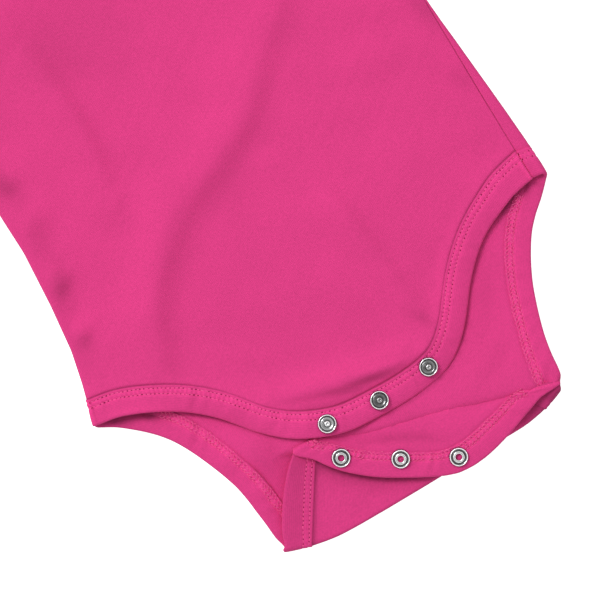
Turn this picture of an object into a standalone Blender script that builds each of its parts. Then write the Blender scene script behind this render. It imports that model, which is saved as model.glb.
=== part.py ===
"""Baby bodysuit with short sleeves, laid flat on its back with its crotch flaps unfastened.

Every size is in millimetres until the meshes are made. A place on the garment is given as
(across, down): across grows towards the wearer's left, down grows from the neck to the crotch.
World X is across, world Y is minus down, Z is up. The neck is at +Y and the front is up.
"""
import math

import bmesh
import bpy
import numpy as np
from mathutils import Matrix, Vector

MM = 0.001

# Cloth
PANEL_WALL = 1.1          # interlock jersey of the body and sleeves
BAND_WALL = 2.2           # leg bindings, folded double
NECK_WALL = 2.0           # neck binding, folded double
SEAM_GAP = 0.4            # between two pieces that are sewn edge to edge
LEG_BAND = 14.2           # width of the leg and crotch bindings
LEG_BAND_AT_SEAM = 16.6   # and where they meet at the wearer's left side seam
NECK_BAND = 13.0

# Body, from the neck down
UNDERARM_DOWN = -200.0
HIP_DOWN = -60.0
SHOULDER_HALF = 97.0      # half the width across the shoulder points
NECK_HALF = 58.0          # half the width between the neck points
NECK_POINT_DOWN = -326.0
SHOULDER_SLOPE = 0.36     # down per across
SIDE_TOP_DOWN = -197.5    # where the side seams begin, just below the underarm
FRONT_NECK_DROP = 56.0
BACK_NECK_DROP = 14.0
SIDE_SEAM_ACROSS = 123.3  # the wearer's left side seam has rolled on to the front by this line
SIDE_ROLL = 1.4           # radius of the roll at the side edges
SIDE_GAP = 0.34           # between the front and the back along the side seams
SIDE_ROWS = 9             # rows of both panels between the underarm and the hip
SIDE_ROLL_UNDER = 2.8     # underside of the front layer at the side edges
FRONT_UNDER = 1.45        # underside of the front layer where it lies on the back
NECK_RISE = 1.3           # and how much higher it lies beside the neck binding
NECK_FRONT_UNDER = 2.9    # underside of the front of the neck binding

# Pleat in the back flap: the crotch end is folded up and down again
PLEAT_ROLL = 1.5          # radius of each fold
PLEAT_STEPS = 4           # facets round each fold

LEG_ROWS = 18             # rows of the back from the hip to the pleat

# Sleeves
HEM_TOP = (188.0, -262.0)     # across, down of the hem at the upper edge
HEM_BOTTOM = (148.0, -190.0)
SLEEVE_ROLL_TOP = 0.75
ARMHOLE_ROWS = (1, 0.86, 0.7, 0.52, 0.34, 0.17, 0.04)   # shares of the way up the armhole

# Snaps
SNAP_SIDES = 16
SNAP_LIFT = 0.45          # under and over the binding it is set in

# Where the middle of the part's box lies on the garment, across and down
BOX_MIDDLE = (0.0, -107.03)

# Width of the laid garment: down, left edge, right edge
SIDE_EDGES = [
    (-200.0, -119.0, 121.0),
    (-160.0, -118.5, 121.5),
    (-114.0, -119.5, 123.6),
    (-92.0, -118.9, 124.8),
    (-62.0, -121.0, 127.2),
    (-37.0, -123.8, 129.2),
    (-20.0, -127.6, 130.4),
    (-12.0, -129.7, 130.9),
    (-5.0, -132.6, 131.3),
    (3.0, -133.6, 131.5),
    (12.0, -133.6, 131.6),
]

# Half the body's width at the armhole seam: down, across
ARMHOLE = [
    (-312.0, 97.0),
    (-290.0, 89.5),
    (-262.0, 87.0),
    (-235.0, 92.0),
    (-214.0, 105.0),
    (-200.0, 120.0),
]

# Free edge of the front binding, from one side seam round the crotch to the other: across, down
FRONT_EDGE = [
    (-133.5, 2.3),
    (-116.3, 5.8),
    (-95.3, 16.2),
    (-78.3, 29.7),
    (-62.4, 48.5),
    (-47.0, 61.0),
    (-25.6, 70.2),
    (-3.8, 72.6),
    (14.2, 73.0),
    (30.8, 71.0),
    (43.0, 66.0),
    (55.3, 55.4),
    (71.7, 35.7),
    (87.6, 22.5),
    (106.7, 13.5),
    (124.0, 11.3),
]

# Free edges of the back binding beside the legs: across, down
BACK_EDGE_LEFT = [
    (-136.0, 1.6),
    (-120.1, 11.7),
    (-102.3, 30.7),
    (-88.5, 62.2),
    (-84.6, 85.4),
    (-83.0, 106.3),
]
BACK_EDGE_RIGHT = [
    (142.5, 11.2),
    (131.6, 12.2),
    (123.9, 18.5),
    (110.1, 31.7),
    (98.0, 51.7),
    (89.4, 73.9),
    (84.8, 91.4),
    (82.5, 109.5),
]

# The two folds of the pleat, from the left free edge to the right one: across, down
LOWER_FOLD = [
    (-83.0, 106.5),
    (-69.0, 111.5),
    (-52.0, 114.3),
    (-15.0, 115.0),
    (30.0, 114.8),
    (58.0, 113.5),
    (70.0, 112.0),
    (82.5, 109.5),
]
UPPER_FOLD = [
    (-53.5, 62.8),
    (-38.5, 67.0),
    (-28.0, 71.2),
    (-6.7, 78.0),
    (27.6, 87.2),
    (47.0, 94.0),
    (57.0, 97.2),
    (83.0, 103.5),
]
FOLD_SEAM_LEFT = 1        # the row of both tables where the left seam crosses the folds
FOLD_SEAM_RIGHT = 6       # and the right one

# Binding of the folded-over crotch end: free edge across and down, seam across and down
CROTCH_BAND = [
    (-53.5, 62.8, -38.5, 67.0),
    (-49.5, 68.5, -36.8, 69.5),
    (-43.0, 78.5, -30.0, 76.5),
    (-35.5, 88.2, -19.0, 85.2),
    (-23.5, 98.8, -6.0, 93.4),
    (-9.0, 107.5, 4.5, 99.6),
    (6.0, 115.0, 12.5, 103.4),
    (17.0, 118.4, 20.0, 104.6),
    (29.0, 118.2, 27.5, 104.2),
    (39.0, 116.2, 35.0, 102.6),
    (48.0, 113.6, 42.0, 101.2),
    (58.0, 110.2, 48.0, 99.8),
    (70.0, 107.4, 52.6, 98.4),
    (83.0, 103.5, 57.0, 97.2),
]

# Soft folds of the front: start, middle and end across and down, height, width left, width right
FRONT_FOLDS = [
    (50, -128, 2, -95, -50, -62, 3.6, 26, 15),
    (-50, -62, -74, -42, -84, -10, 3.0, 18, 14),
    (-66, -182, -67, -146, -68, -108, 2.8, 22, 15),
    (-108, -150, -110, -104, -116, -58, 1.6, 10, 9),
    (14, -78, 30, -40, 40, 12, 1.6, 22, 14),
    (-40, 34, -6, 44, 32, 53, 2.2, 12, 8),
    (104, -188, 70, -164, 44, -156, 2.6, 16, 14),
    (-20, -252, -6, -226, 20, -206, 2.0, 22, 18),
    (66, -286, 60, -250, 68, -224, 1.8, 16, 14),
]

# The front flap is propped up where it lies on the pleat: across, how far it is lifted
FLAP_LIFT = [
    (-134.0, 0.0),
    (-92.0, 0.4),
    (-70.0, 3.2),
    (-52.0, 6.1),
    (-30.0, 6.1),
    (-8.0, 4.6),
    (20.0, 2.6),
    (50.0, 0.7),
    (124.0, 0.0),
]
FLAP_LIFT_LENGTH = 46.0   # how far up from the free edge the lift dies away

STUD_PLACES = [(-30.7, 61.9), (-1.9, 65.4), (28.2, 63.7)]
SOCKET_PLACES = [(-33.5, 80.4), (-7.9, 96.4), (17.9, 110.7)]


def smooth_curve(points, count):
    """Even samples along a smooth curve through the points, whatever their number of columns."""
    points = np.array(points, float)
    ends = np.vstack([2 * points[0] - points[1], points, 2 * points[-1] - points[-2]])
    dense = []
    for before, start, end, after in zip(ends, ends[1:], ends[2:], ends[3:]):
        for step in np.arange(12) / 12:
            dense.append(0.5 * (2 * start + (end - before) * step
                                + (2 * before - 5 * start + 4 * end - after) * step ** 2
                                + (3 * start - before - 3 * end + after) * step ** 3))
    dense.append(points[-1])
    dense = np.array(dense)
    along = np.concatenate([[0], np.cumsum(np.linalg.norm(np.diff(dense, axis=0), axis=1))])
    stations = count if np.ndim(count) else np.linspace(0, 1, count)
    wanted = np.array(stations) * along[-1]
    return np.column_stack([np.interp(wanted, along, column) for column in dense.T])


def moved_aside(curve, distance):
    """The curve moved to its left, as seen going along it with down to the bottom."""
    along = np.gradient(curve, axis=0)
    along /= np.linalg.norm(along, axis=1)[:, None]
    return curve + distance * np.column_stack([along[:, 1], -along[:, 0]])


def ease(value):
    value = np.clip(value, 0, 1)
    return value * value * (3 - 2 * value)


def side_edge(down, column):
    table = np.array(SIDE_EDGES)
    return np.interp(down, table[:, 0], table[:, column])


def armhole_half(down):
    curve = smooth_curve(ARMHOLE, 40)
    return np.interp(down, curve[:, 0], curve[:, 1])


def neck_curve(across, half, top, drop):
    """Down of a round neckline between its two highest points."""
    inside = np.clip(np.abs(across) / half, 0, 1)
    return top + drop * np.sqrt(1 - inside ** 2.4)


def shoulder_line(across, neck_drop):
    """Down of the shoulder seam, or of the neck seam between the neck points."""
    across = np.abs(across)
    neck = neck_curve(across, NECK_HALF, NECK_POINT_DOWN, neck_drop)
    shoulder = NECK_POINT_DOWN + SHOULDER_SLOPE * (across - NECK_HALF)
    return np.where(across < NECK_HALF, neck, shoulder)


def neck_shares(count):
    """Shares of the shoulder width between the neck points, closer together near them."""
    even = np.linspace(-1, 1, count)
    crowded = 0.55 * even + 0.45 * np.sin(even * math.pi / 2)
    return 0.5 + crowded * NECK_HALF / SHOULDER_HALF / 2


def fold_height(across, down):
    """Height that the soft folds add to the front."""
    height = np.zeros(np.shape(across))
    for row in FRONT_FOLDS:
        crest = smooth_curve(np.array(row[:6], float).reshape(3, 2), 15)
        size, wide_left, wide_right = row[6:]
        offsets = np.stack([np.asarray(across)[..., None] - crest[:, 0],
                            np.asarray(down)[..., None] - crest[:, 1]], -1)
        distance = np.linalg.norm(offsets, axis=-1)
        nearest = distance.argmin(-1)
        along = np.gradient(crest, axis=0)[nearest]
        offset = np.take_along_axis(offsets, nearest[..., None, None].repeat(2, -1), -2)[..., 0, :]
        left = along[..., 0] * offset[..., 1] - along[..., 1] * offset[..., 0] < 0
        if crest[-1, 1] - crest[0, 1] > abs(crest[-1, 0] - crest[0, 0]):
            left = ~left
        width = np.where(left, wide_left, wide_right)
        fade = np.sin(math.pi * np.clip(nearest / 14, 0.12, 0.88)) ** 0.7
        height = height + size * fade * np.exp(-(distance.min(-1) / width) ** 2 * 1.6)
    return height


def front_underside(across, down):
    """Height of the underside of the front layer, over the back that it lies on."""
    across = np.asarray(across, float)
    down = np.asarray(down, float)
    inside = np.minimum(across - side_edge(down, 1), side_edge(down, 2) - across)
    at_side = (1 - ease(inside / 16)) * ease((down - UNDERARM_DOWN + 32) / 32)
    at_leg = ease((down - HIP_DOWN) / 35)
    base = FRONT_UNDER + (SIDE_ROLL_UNDER - FRONT_UNDER) * np.maximum(at_side, at_leg)
    free_edge = smooth_curve(FRONT_EDGE, 60)
    below = np.interp(across, free_edge[:, 0], free_edge[:, 1]) - down
    lift = np.interp(across, *np.array(FLAP_LIFT).T) * (1 - ease(below / FLAP_LIFT_LENGTH))
    from_top = down - shoulder_line(across, FRONT_NECK_DROP)
    beside_neck = (1 - ease(from_top / 26)) * (1 - ease((np.abs(across) - NECK_HALF) / 18))
    clear = ease((inside - 2) / 14) * ease((from_top - 2) / 14)
    return base + lift + NECK_RISE * beside_neck + fold_height(across, down) * clear


def rolled(position, down, wall, under, far_side):
    """Across and height on the middle of a layer whose right or left end rolls over the edge.

    The lower layer rolls up and the upper layer rolls down, each round the same edge. The
    height is None where the layer is still flat."""
    edge = side_edge(down, 2 if far_side > 0 else 1) - far_side * wall / 2
    beyond = far_side * (position - edge) + SIDE_ROLL
    if beyond <= 0:
        return position, None
    half_turn = math.pi * SIDE_ROLL
    turn = min(beyond, half_turn) / SIDE_ROLL
    across = edge - far_side * SIDE_ROLL + far_side * SIDE_ROLL * math.sin(turn)
    across -= far_side * max(beyond - half_turn, 0)
    rise = SIDE_ROLL * (1 - math.cos(turn))
    lower = wall / 2
    if under:
        return across, lower + rise
    return across, lower + 2 * SIDE_ROLL - rise


def seam_positions(down, wall):
    """Positions of the side seams on the flat front and on the flat back at one level."""
    quarter = math.pi / 2 * SIDE_ROLL
    left = side_edge(down, 1) + wall / 2 + SIDE_ROLL - quarter
    right_edge = side_edge(down, 2) - wall / 2
    over = right_edge - min(SIDE_SEAM_ACROSS, right_edge)
    if over < SIDE_ROLL:
        turn = math.asin(1 - over / SIDE_ROLL) * SIDE_ROLL
        front_right = right_edge - SIDE_ROLL + turn
        back_right = right_edge - SIDE_ROLL + math.pi * SIDE_ROLL - turn
    else:
        front_right = right_edge - over
        back_right = right_edge + (math.pi - 2) * SIDE_ROLL + over
    half_gap = SIDE_GAP / 2 * SIDE_ROLL / (SIDE_ROLL - wall / 2)
    half_gap += 0.5 * float(ease((-183 - down) / 12))
    return left + half_gap, front_right - half_gap, back_right - half_gap


def point_on_back(position, down, wall):
    """A point on the middle of the back layer, from its place on the flat layer."""
    across, height = rolled(position, down, wall, True, 1)
    if height is None:
        across, height = rolled(position, down, wall, True, -1)
    return across, down, wall / 2 if height is None else height


def point_on_front(position, down, wall):
    across, height = rolled(position, down, wall, False, 1)
    if height is None:
        across, height = rolled(position, down, wall, False, -1)
    if height is None:
        height = float(front_underside(across, down)) + wall / 2
    return across, down, height


def pleated(lower, upper, low):
    """Points up a pleat from the layer below its lower fold to the layer above its upper fold."""
    lower, upper = np.array(lower), np.array(upper)
    outward = (lower - upper) / np.linalg.norm(lower - upper)
    first, second = lower - PLEAT_ROLL * outward, upper + PLEAT_ROLL * outward
    turns = np.linspace(0, math.pi, PLEAT_STEPS + 1)
    points = []
    for turn in turns:
        place = first + outward * PLEAT_ROLL * math.sin(turn)
        points.append((*place, low + PLEAT_ROLL * (1 - math.cos(turn))))
    for share in (0.33, 0.67):
        points.append((*(first + (second - first) * share), low + 2 * PLEAT_ROLL))
    for turn in turns:
        place = second - outward * PLEAT_ROLL * math.sin(turn)
        points.append((*place, low + PLEAT_ROLL * (3 - math.cos(turn))))
    return points


def make_object(name, vertices, faces, material):
    mesh = bpy.data.meshes.new(name)
    middle = np.array([BOX_MIDDLE[0], BOX_MIDDLE[1], 0.0])
    placed = (np.array(vertices) - middle) * np.array([1, -1, 1]) * MM
    mesh.from_pydata(placed.tolist(), [], faces)
    cloth = bmesh.new()
    cloth.from_mesh(mesh)
    bmesh.ops.recalc_face_normals(cloth, faces=cloth.faces)
    cloth.to_mesh(mesh)
    cloth.free()
    mesh.shade_smooth()
    mesh.set_sharp_from_angle(angle=math.radians(50))
    mesh.materials.append(material)
    made = bpy.data.objects.new(name, mesh)
    bpy.context.scene.collection.objects.link(made)
    return made


def leaned_out(facet_normals, next_normals):
    """Normals at an open end of a curved wall, from the last facets and the points beside them."""
    gentle = (facet_normals * next_normals).sum(-1, keepdims=True) > 0.9
    leaned = facet_normals + (facet_normals - next_normals) * gentle
    return leaned / np.linalg.norm(leaned, axis=-1)[..., None]


def wall_object(name, middle, wall, material, closed=False):
    """A wall of even thickness about a grid of points, its rows joined end to end if closed."""
    middle = np.array(middle, float)
    rows, columns = middle.shape[:2]
    if closed:
        middle = np.concatenate([middle, middle[:1]])
    across = middle[:-1, 1:] - middle[1:, :-1]
    along = middle[1:, 1:] - middle[:-1, :-1]
    normals = np.cross(across, along)
    normals /= np.linalg.norm(normals, axis=2)[..., None] + 1e-9
    at_points = np.zeros_like(middle)
    for row, column in ((0, 0), (0, 1), (1, 0), (1, 1)):
        at_points[row:row + len(normals), column:column + columns - 1] += normals
    if closed:
        at_points[0] += at_points[-1]
        at_points, middle = at_points[:-1], middle[:-1]
    at_points /= np.linalg.norm(at_points, axis=2)[..., None]
    for end, beside in ((0, 1), (-1, -2)):
        at_points[:, end] = leaned_out(at_points[:, end], at_points[:, beside])
        if not closed:
            at_points[end] = leaned_out(at_points[end], at_points[beside])
    skins = [middle + at_points * wall / 2, middle - at_points * wall / 2]
    vertices = np.concatenate([skin.reshape(-1, 3) for skin in skins])

    def corner(skin, row, column):
        return skin * rows * columns + (row % rows) * columns + column

    faces = []
    row_steps = rows if closed else rows - 1
    for row in range(row_steps):
        for column in range(columns - 1):
            for skin in (0, 1):
                quad = [corner(skin, row, column), corner(skin, row + 1, column),
                        corner(skin, row + 1, column + 1), corner(skin, row, column + 1)]
                faces.append(quad if skin else quad[::-1])
        for column in (0, columns - 1):
            faces.append([corner(0, row, column), corner(0, row + 1, column),
                          corner(1, row + 1, column), corner(1, row, column)])
    if not closed:
        for column in range(columns - 1):
            for row in (0, rows - 1):
                faces.append([corner(0, row, column), corner(0, row, column + 1),
                              corner(1, row, column + 1), corner(1, row, column)])
    return make_object(name, vertices, faces, material)


def turned_object(name, profile, place, normal, material, ring):
    """A turned piece from a profile of radius and height, closed on its axis unless a ring."""
    vertices = []
    faces = []
    count = len(profile)
    for radius, height in profile:
        for side in range(SNAP_SIDES):
            turn = 2 * math.pi * side / SNAP_SIDES
            vertices.append(Vector((radius * math.cos(turn), radius * math.sin(turn), height)))
    steps = count if ring else count - 1
    for row in range(steps):
        for side in range(SNAP_SIDES):
            following = (side + 1) % SNAP_SIDES
            top = (row + 1) % count
            faces.append([row * SNAP_SIDES + side, row * SNAP_SIDES + following,
                          top * SNAP_SIDES + following, top * SNAP_SIDES + side])
    if not ring:
        faces.append(list(range(SNAP_SIDES))[::-1])
        faces.append(list(range((count - 1) * SNAP_SIDES, count * SNAP_SIDES)))
    turn = Vector((0, 0, 1)).rotation_difference(Vector(normal)).to_matrix().to_4x4()
    set_in = Matrix.Translation(Vector(place)) @ turn
    return make_object(name, [tuple(set_in @ vertex) for vertex in vertices], faces, material)


def material_of(name, colour, roughness, metallic):
    material = bpy.data.materials.new(name)
    material.use_nodes = True
    shader = material.node_tree.nodes["Principled BSDF"]
    shader.inputs["Base Color"].default_value = (*colour, 1)
    shader.inputs["Roughness"].default_value = roughness
    shader.inputs["Metallic"].default_value = metallic
    material.diffuse_color = (*colour, 1)
    return material


def front_shares():
    """Columns of the front panel as shares of its width, with one at each neck point."""
    neck = 0.5 - NECK_HALF / SHOULDER_HALF / 2
    side = np.linspace(0, neck, 6)[1:]
    return np.concatenate([[0, 0.0045, 0.009, 0.02], side, neck_shares(18)[1:-1], 1 - side[::-1],
                           [0.98, 0.991, 0.9955, 1]])


def armhole_rows(shares, neck_drop, place):
    """Rows of a panel from its shoulder and neck seams down to the underarm."""
    rows = []
    side = 2 * shares - 1
    top = shoulder_line(side * SHOULDER_HALF, neck_drop) + SEAM_GAP / 4
    for share_up in ARMHOLE_ROWS:
        downs = UNDERARM_DOWN + (top - UNDERARM_DOWN) * share_up
        half = armhole_half(downs[0] - SEAM_GAP / 4)
        straight = np.maximum(np.abs(side) * SHOULDER_HALF - NECK_HALF, 0) * (
            (half - NECK_HALF) / (SHOULDER_HALF - NECK_HALF))
        straight = np.minimum(np.abs(side) * SHOULDER_HALF, NECK_HALF) + straight
        half_across = np.abs(side) * half
        half_across += (straight - half_across) * ease(share_up / 0.6)
        half_across -= SEAM_GAP * np.abs(side) ** 8
        rows.append([place(across, down, PANEL_WALL)
                     for across, down in zip(np.sign(side) * half_across, downs)])
    return rows


def side_levels():
    """Downs of the rows between the underarm and the hip."""
    return np.linspace(SIDE_TOP_DOWN, HIP_DOWN, SIDE_ROWS)


def cut_at_sides(curve, wall, right_column):
    """The part of a curve on the flat layer that lies between the side seams."""
    ends = [seam_positions(curve[row, 1], wall)[column]
            for row, column in ((0, 0), (-1, right_column))]
    rows = np.arange(len(curve))
    cut = np.linspace(*np.interp(ends, curve[:, 0], rows), len(curve))
    return np.column_stack([np.interp(cut, rows, column) for column in curve.T])


def front_band_curves(count):
    """Free edge and seam of the front binding, and the edge of the panel beside it."""
    edge = smooth_curve(FRONT_EDGE, count)
    edge = np.vstack([edge[0] - (3, 0.6), edge, edge[-1] + (3, -0.4)])
    widening = ease((edge[:, :1] - 80) / 44)
    seam = moved_aside(edge, LEG_BAND + (LEG_BAND_AT_SEAM - LEG_BAND) * widening)
    panel_end = moved_aside(seam, SEAM_GAP + 0.2 * ease((-118 - seam[:, :1]) / 8))
    return (cut_at_sides(edge, BAND_WALL, 1), cut_at_sides(seam, BAND_WALL, 1),
            cut_at_sides(panel_end, PANEL_WALL, 1))


def make_front(cotton, band_cotton):
    shares = front_shares()
    edge, seam, panel_end = front_band_curves(161)
    rows = armhole_rows(shares, FRONT_NECK_DROP, point_on_front)
    for down in side_levels():
        left, right = seam_positions(down, PANEL_WALL)[:2]
        rows.append([point_on_front(left + (right - left) * share, down, PANEL_WALL)
                     for share in shares])
    ends = np.full(len(shares), -12.0)
    for _ in range(6):
        left, right = np.array([seam_positions(end, PANEL_WALL)[:2] for end in ends]).T
        across = left + (right - left) * shares
        ends = np.interp(across, panel_end[:, 0], panel_end[:, 1])
    for share_down in np.linspace(0, 1, 12)[1:]:
        row = []
        for share, end in zip(shares, ends):
            down = HIP_DOWN + (end - HIP_DOWN) * share_down
            left, right = seam_positions(down, PANEL_WALL)[:2]
            row.append(point_on_front(left + (right - left) * share, down, PANEL_WALL))
        rows.append(row)
    wall_object("front_panel", rows, PANEL_WALL, cotton)

    stations = np.interp(across, panel_end[:, 0], np.linspace(0, 1, len(seam)))
    band = []
    for station in stations:
        outer = np.array([np.interp(station, np.linspace(0, 1, len(edge)), c) for c in edge.T])
        inner = np.array([np.interp(station, np.linspace(0, 1, len(seam)), c) for c in seam.T])
        band.append([point_on_front(*(outer + (inner - outer) * share), BAND_WALL)
                     for share in (0, 0.33, 0.67, 1)])
    wall_object("front_leg_binding", band, BAND_WALL, band_cotton)


def back_shares():
    neck = 0.5 - NECK_HALF / SHOULDER_HALF / 2
    side = np.linspace(0, neck, 4)[1:]
    return np.concatenate([[0, 0.0045, 0.009], side, neck_shares(9)[1:-1], 1 - side[::-1]])


def back_row(left, right, shares):
    """One row of the flat back layer: even columns, then those that go round the right roll."""
    roll_start = side_edge(right[1], 2) - PANEL_WALL / 2 - SIDE_ROLL
    rolling = right[0] - roll_start
    if rolling > math.pi * SIDE_ROLL:
        extra = np.append(np.linspace(0, math.pi * SIDE_ROLL, 5), rolling) + roll_start
    else:
        extra = right[0] - np.linspace(max(rolling, 4.5), 0, 6)
    across = np.concatenate([left[0] + (extra[0] - left[0]) * shares[:-1], extra])
    share_across = (across - left[0]) / (right[0] - left[0])
    down = left[1] + (right[1] - left[1]) * share_across
    return np.column_stack([across, down])


def leg_edges(side):
    """Free edge and seam of the back binding beside one leg, and the panel's edge along it.

    The first rows stand straight across the roll at the side, and the others are even."""
    table = BACK_EDGE_LEFT if side < 0 else BACK_EDGE_RIGHT
    edge = smooth_curve(table, 240)
    widening = 1 - ease(np.linspace(0, 8, len(edge)))[:, None]
    extra = (LEG_BAND_AT_SEAM - LEG_BAND) * widening * (side > 0)
    seam = moved_aside(edge, -side * (LEG_BAND + extra))
    fold_seam = FOLD_SEAM_LEFT if side < 0 else FOLD_SEAM_RIGHT
    to_fold = np.array(LOWER_FOLD[fold_seam]) - seam[-1]
    seam += ease(np.linspace(-0.6, 1, len(seam)))[:, None] * to_fold
    at_left = ease((-118 - seam[:, :1]) / 8)
    panel_gap = SEAM_GAP + 0.35 * at_left
    curves = []
    for curve, wall in ((edge, BAND_WALL), (seam, BAND_WALL),
                        (moved_aside(seam, -side * panel_gap), PANEL_WALL)):
        down = curve[0, 1]
        last = seam_positions(down, wall)[0 if side < 0 else 2]
        roll_start = side_edge(down, 1 if side < 0 else 2) - side * (wall / 2 + SIDE_ROLL)
        if side < 0:
            stations = np.linspace(last, roll_start, 3)
        else:
            stations = np.append(last, np.linspace(math.pi * SIDE_ROLL, 0, 5) + roll_start)
        at = np.interp(side * -stations, side * -curve[:, 0], np.arange(len(curve)))
        rest = np.linspace(at[-1], len(curve) - 1, LEG_ROWS - len(at) + 1)[1:]
        rows = np.concatenate([at, rest])
        points = [np.interp(rows, np.arange(len(curve)), column) for column in curve.T]
        points = np.column_stack(points)
        points[:len(at), 0] = stations
        curves.append(points)
    return curves


def make_back(cotton, band_cotton):
    shares = back_shares()
    rows = armhole_rows(np.append(shares[:-1], np.linspace(0.975, 1, 6)), BACK_NECK_DROP,
                        lambda across, down, wall: (across, down, wall / 2))
    for down in side_levels():
        left, _, right = seam_positions(down, PANEL_WALL)
        flat = back_row((left, down), (right, down), shares)
        rows.append([point_on_back(across, level, PANEL_WALL) for across, level in flat])

    edges = {side: leg_edges(side) for side in (-1, 1)}
    left_end, right_end = edges[-1][2], edges[1][2]

    for share_down in (0.35, 0.68):
        ends = []
        for corner, column in ((left_end[0], 0), (right_end[0], 2)):
            down = HIP_DOWN + (corner[1] - HIP_DOWN) * share_down
            ends.append((seam_positions(down, PANEL_WALL)[column], down))
        flat = back_row(*ends, shares)
        rows.append([point_on_back(across, level, PANEL_WALL) for across, level in flat])

    columns = len(shares) + 5
    end_share = np.linspace(0, 1, columns)
    lower_seams = np.array(LOWER_FOLD)[FOLD_SEAM_LEFT:FOLD_SEAM_RIGHT + 1]
    upper_seams = np.array(UPPER_FOLD)[FOLD_SEAM_LEFT:FOLD_SEAM_RIGHT + 1]
    lower = smooth_curve(lower_seams, end_share)
    upper = smooth_curve(upper_seams, end_share)
    for fold, at_left, at_right in ((lower, 0.7, 0.7), (upper, 2.6, 4.5)):
        fold[0] += (fold[1] - fold[0]) * at_left / np.linalg.norm(fold[1] - fold[0])
        fold[-1] += (fold[-2] - fold[-1]) * at_right / np.linalg.norm(fold[-2] - fold[-1])
    pleat = np.array([pleated(low, high, PANEL_WALL / 2) for low, high in zip(lower, upper)])
    bulge = pleat[:, 0, :2] - (pleat[0, 0, :2] + (pleat[-1, 0, :2] - pleat[0, 0, :2])
                               * end_share[:, None])
    for index in range(LEG_ROWS - 1):
        flat = back_row(left_end[index], right_end[index], shares)
        even = left_end[index] + (right_end[index] - left_end[index]) * end_share[:, None]
        flat = flat + (even - flat) * ease((index - 6) / 6)
        flat = flat + bulge * (index / LEG_ROWS) ** 3
        from_end = np.minimum(flat[:, 0] - flat[0, 0], flat[-1, 0] - flat[:, 0])
        raised = flat[:, 1] - 1.3 * max(5 - index, 0) * ease(from_end / 3)
        for column, weight in ((1, 1 - end_share), (2, end_share)):
            flat[:, 0] += (side_edge(raised, column) - side_edge(flat[:, 1], column)) * weight
        flat[:, 1] = raised
        rows.append([point_on_back(across, level, PANEL_WALL) for across, level in flat])
    for index in range(pleat.shape[1]):
        rows.append(pleat[:, index])

    height = PANEL_WALL / 2 + 4 * PLEAT_ROLL
    crotch = smooth_curve(CROTCH_BAND, 0.08 + 0.85 * end_share)
    crotch_end = moved_aside(crotch[:, 2:], SEAM_GAP)
    start = pleat[:, -1, :2]
    for share_down in (0.25, 0.5, 0.75, 1):
        places = start + (crotch_end - start) * share_down
        rows.append([(across, down, height) for across, down in places])
    wall_object("back_panel", rows, PANEL_WALL, cotton)

    band_shares = (0, 0.33, 0.67, 1)
    level = BAND_WALL / 2
    sections = []

    def leg_sections(side):
        edge, seam, _ = edges[side]
        made = []
        for outer, inner in list(zip(edge, seam))[:-1]:
            made.append([point_on_back(*(outer + (inner - outer) * share), BAND_WALL)
                         for share in band_shares])
        return made

    def fold_sections(outer_row, seam_row):
        made = []
        for share in band_shares:
            ends = []
            for table in (LOWER_FOLD, UPPER_FOLD):
                outer, inner = np.array(table[outer_row]), np.array(table[seam_row])
                ends.append(outer + (inner - outer) * share)
            made.append(pleated(*ends, level))
        return np.array(made).transpose(1, 0, 2).tolist()

    sections += leg_sections(-1)
    sections += fold_sections(0, FOLD_SEAM_LEFT)
    for row in crotch:
        outer, inner = row[:2], row[2:]
        sections.append([(*(outer + (inner - outer) * share), level + 4 * PLEAT_ROLL)
                         for share in band_shares])
    sections += fold_sections(-1, FOLD_SEAM_RIGHT)[::-1]
    sections += leg_sections(1)[::-1]
    wall_object("back_leg_binding", sections, BAND_WALL, band_cotton)


def make_neck(band_cotton):
    """The neck binding: one ring, its front over its back, turned over the shoulders."""
    slope = math.atan(SHOULDER_SLOPE)
    tip_across = NECK_HALF - NECK_BAND * math.cos(slope)
    tip_down = NECK_POINT_DOWN - NECK_BAND * math.sin(slope)
    roll = NECK_FRONT_UNDER / 2

    def arc(stations, neck_drop, under):
        across = (2 * stations - 1) * SHOULDER_HALF
        seam = np.column_stack([across, shoulder_line(across, neck_drop)])
        drop = neck_drop + NECK_POINT_DOWN - NECK_BAND - tip_down
        edge_across = across * tip_across / NECK_HALF
        edge = np.column_stack([edge_across, neck_curve(edge_across, tip_across, tip_down, drop)])
        made = []
        for outer, inner in zip(edge, seam):
            inner = inner + (outer - inner) * SEAM_GAP / NECK_BAND
            made.append([(*(outer + (inner - outer) * share), under + NECK_WALL / 2)
                         for share in (0, 0.5, 1)])
        return made

    def turned_over(section, side):
        up = np.array([side * math.sin(slope), -math.cos(slope), 0.0])
        made = []
        for turn in (math.pi / 4, math.pi / 2, math.pi * 3 / 4):
            moved = up * roll * math.sin(turn) + np.array([0, 0, -roll * (1 - math.cos(turn))])
            made.append([tuple(np.array(point) + moved) for point in section])
        return made

    front = arc(neck_shares(18), FRONT_NECK_DROP, NECK_FRONT_UNDER)
    back = arc(neck_shares(9), BACK_NECK_DROP, 0.0)
    ring = front + turned_over(front[-1], 1) + back[::-1] + turned_over(front[0], -1)[::-1]
    wall_object("neck_binding", ring, NECK_WALL, band_cotton, closed=True)


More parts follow.
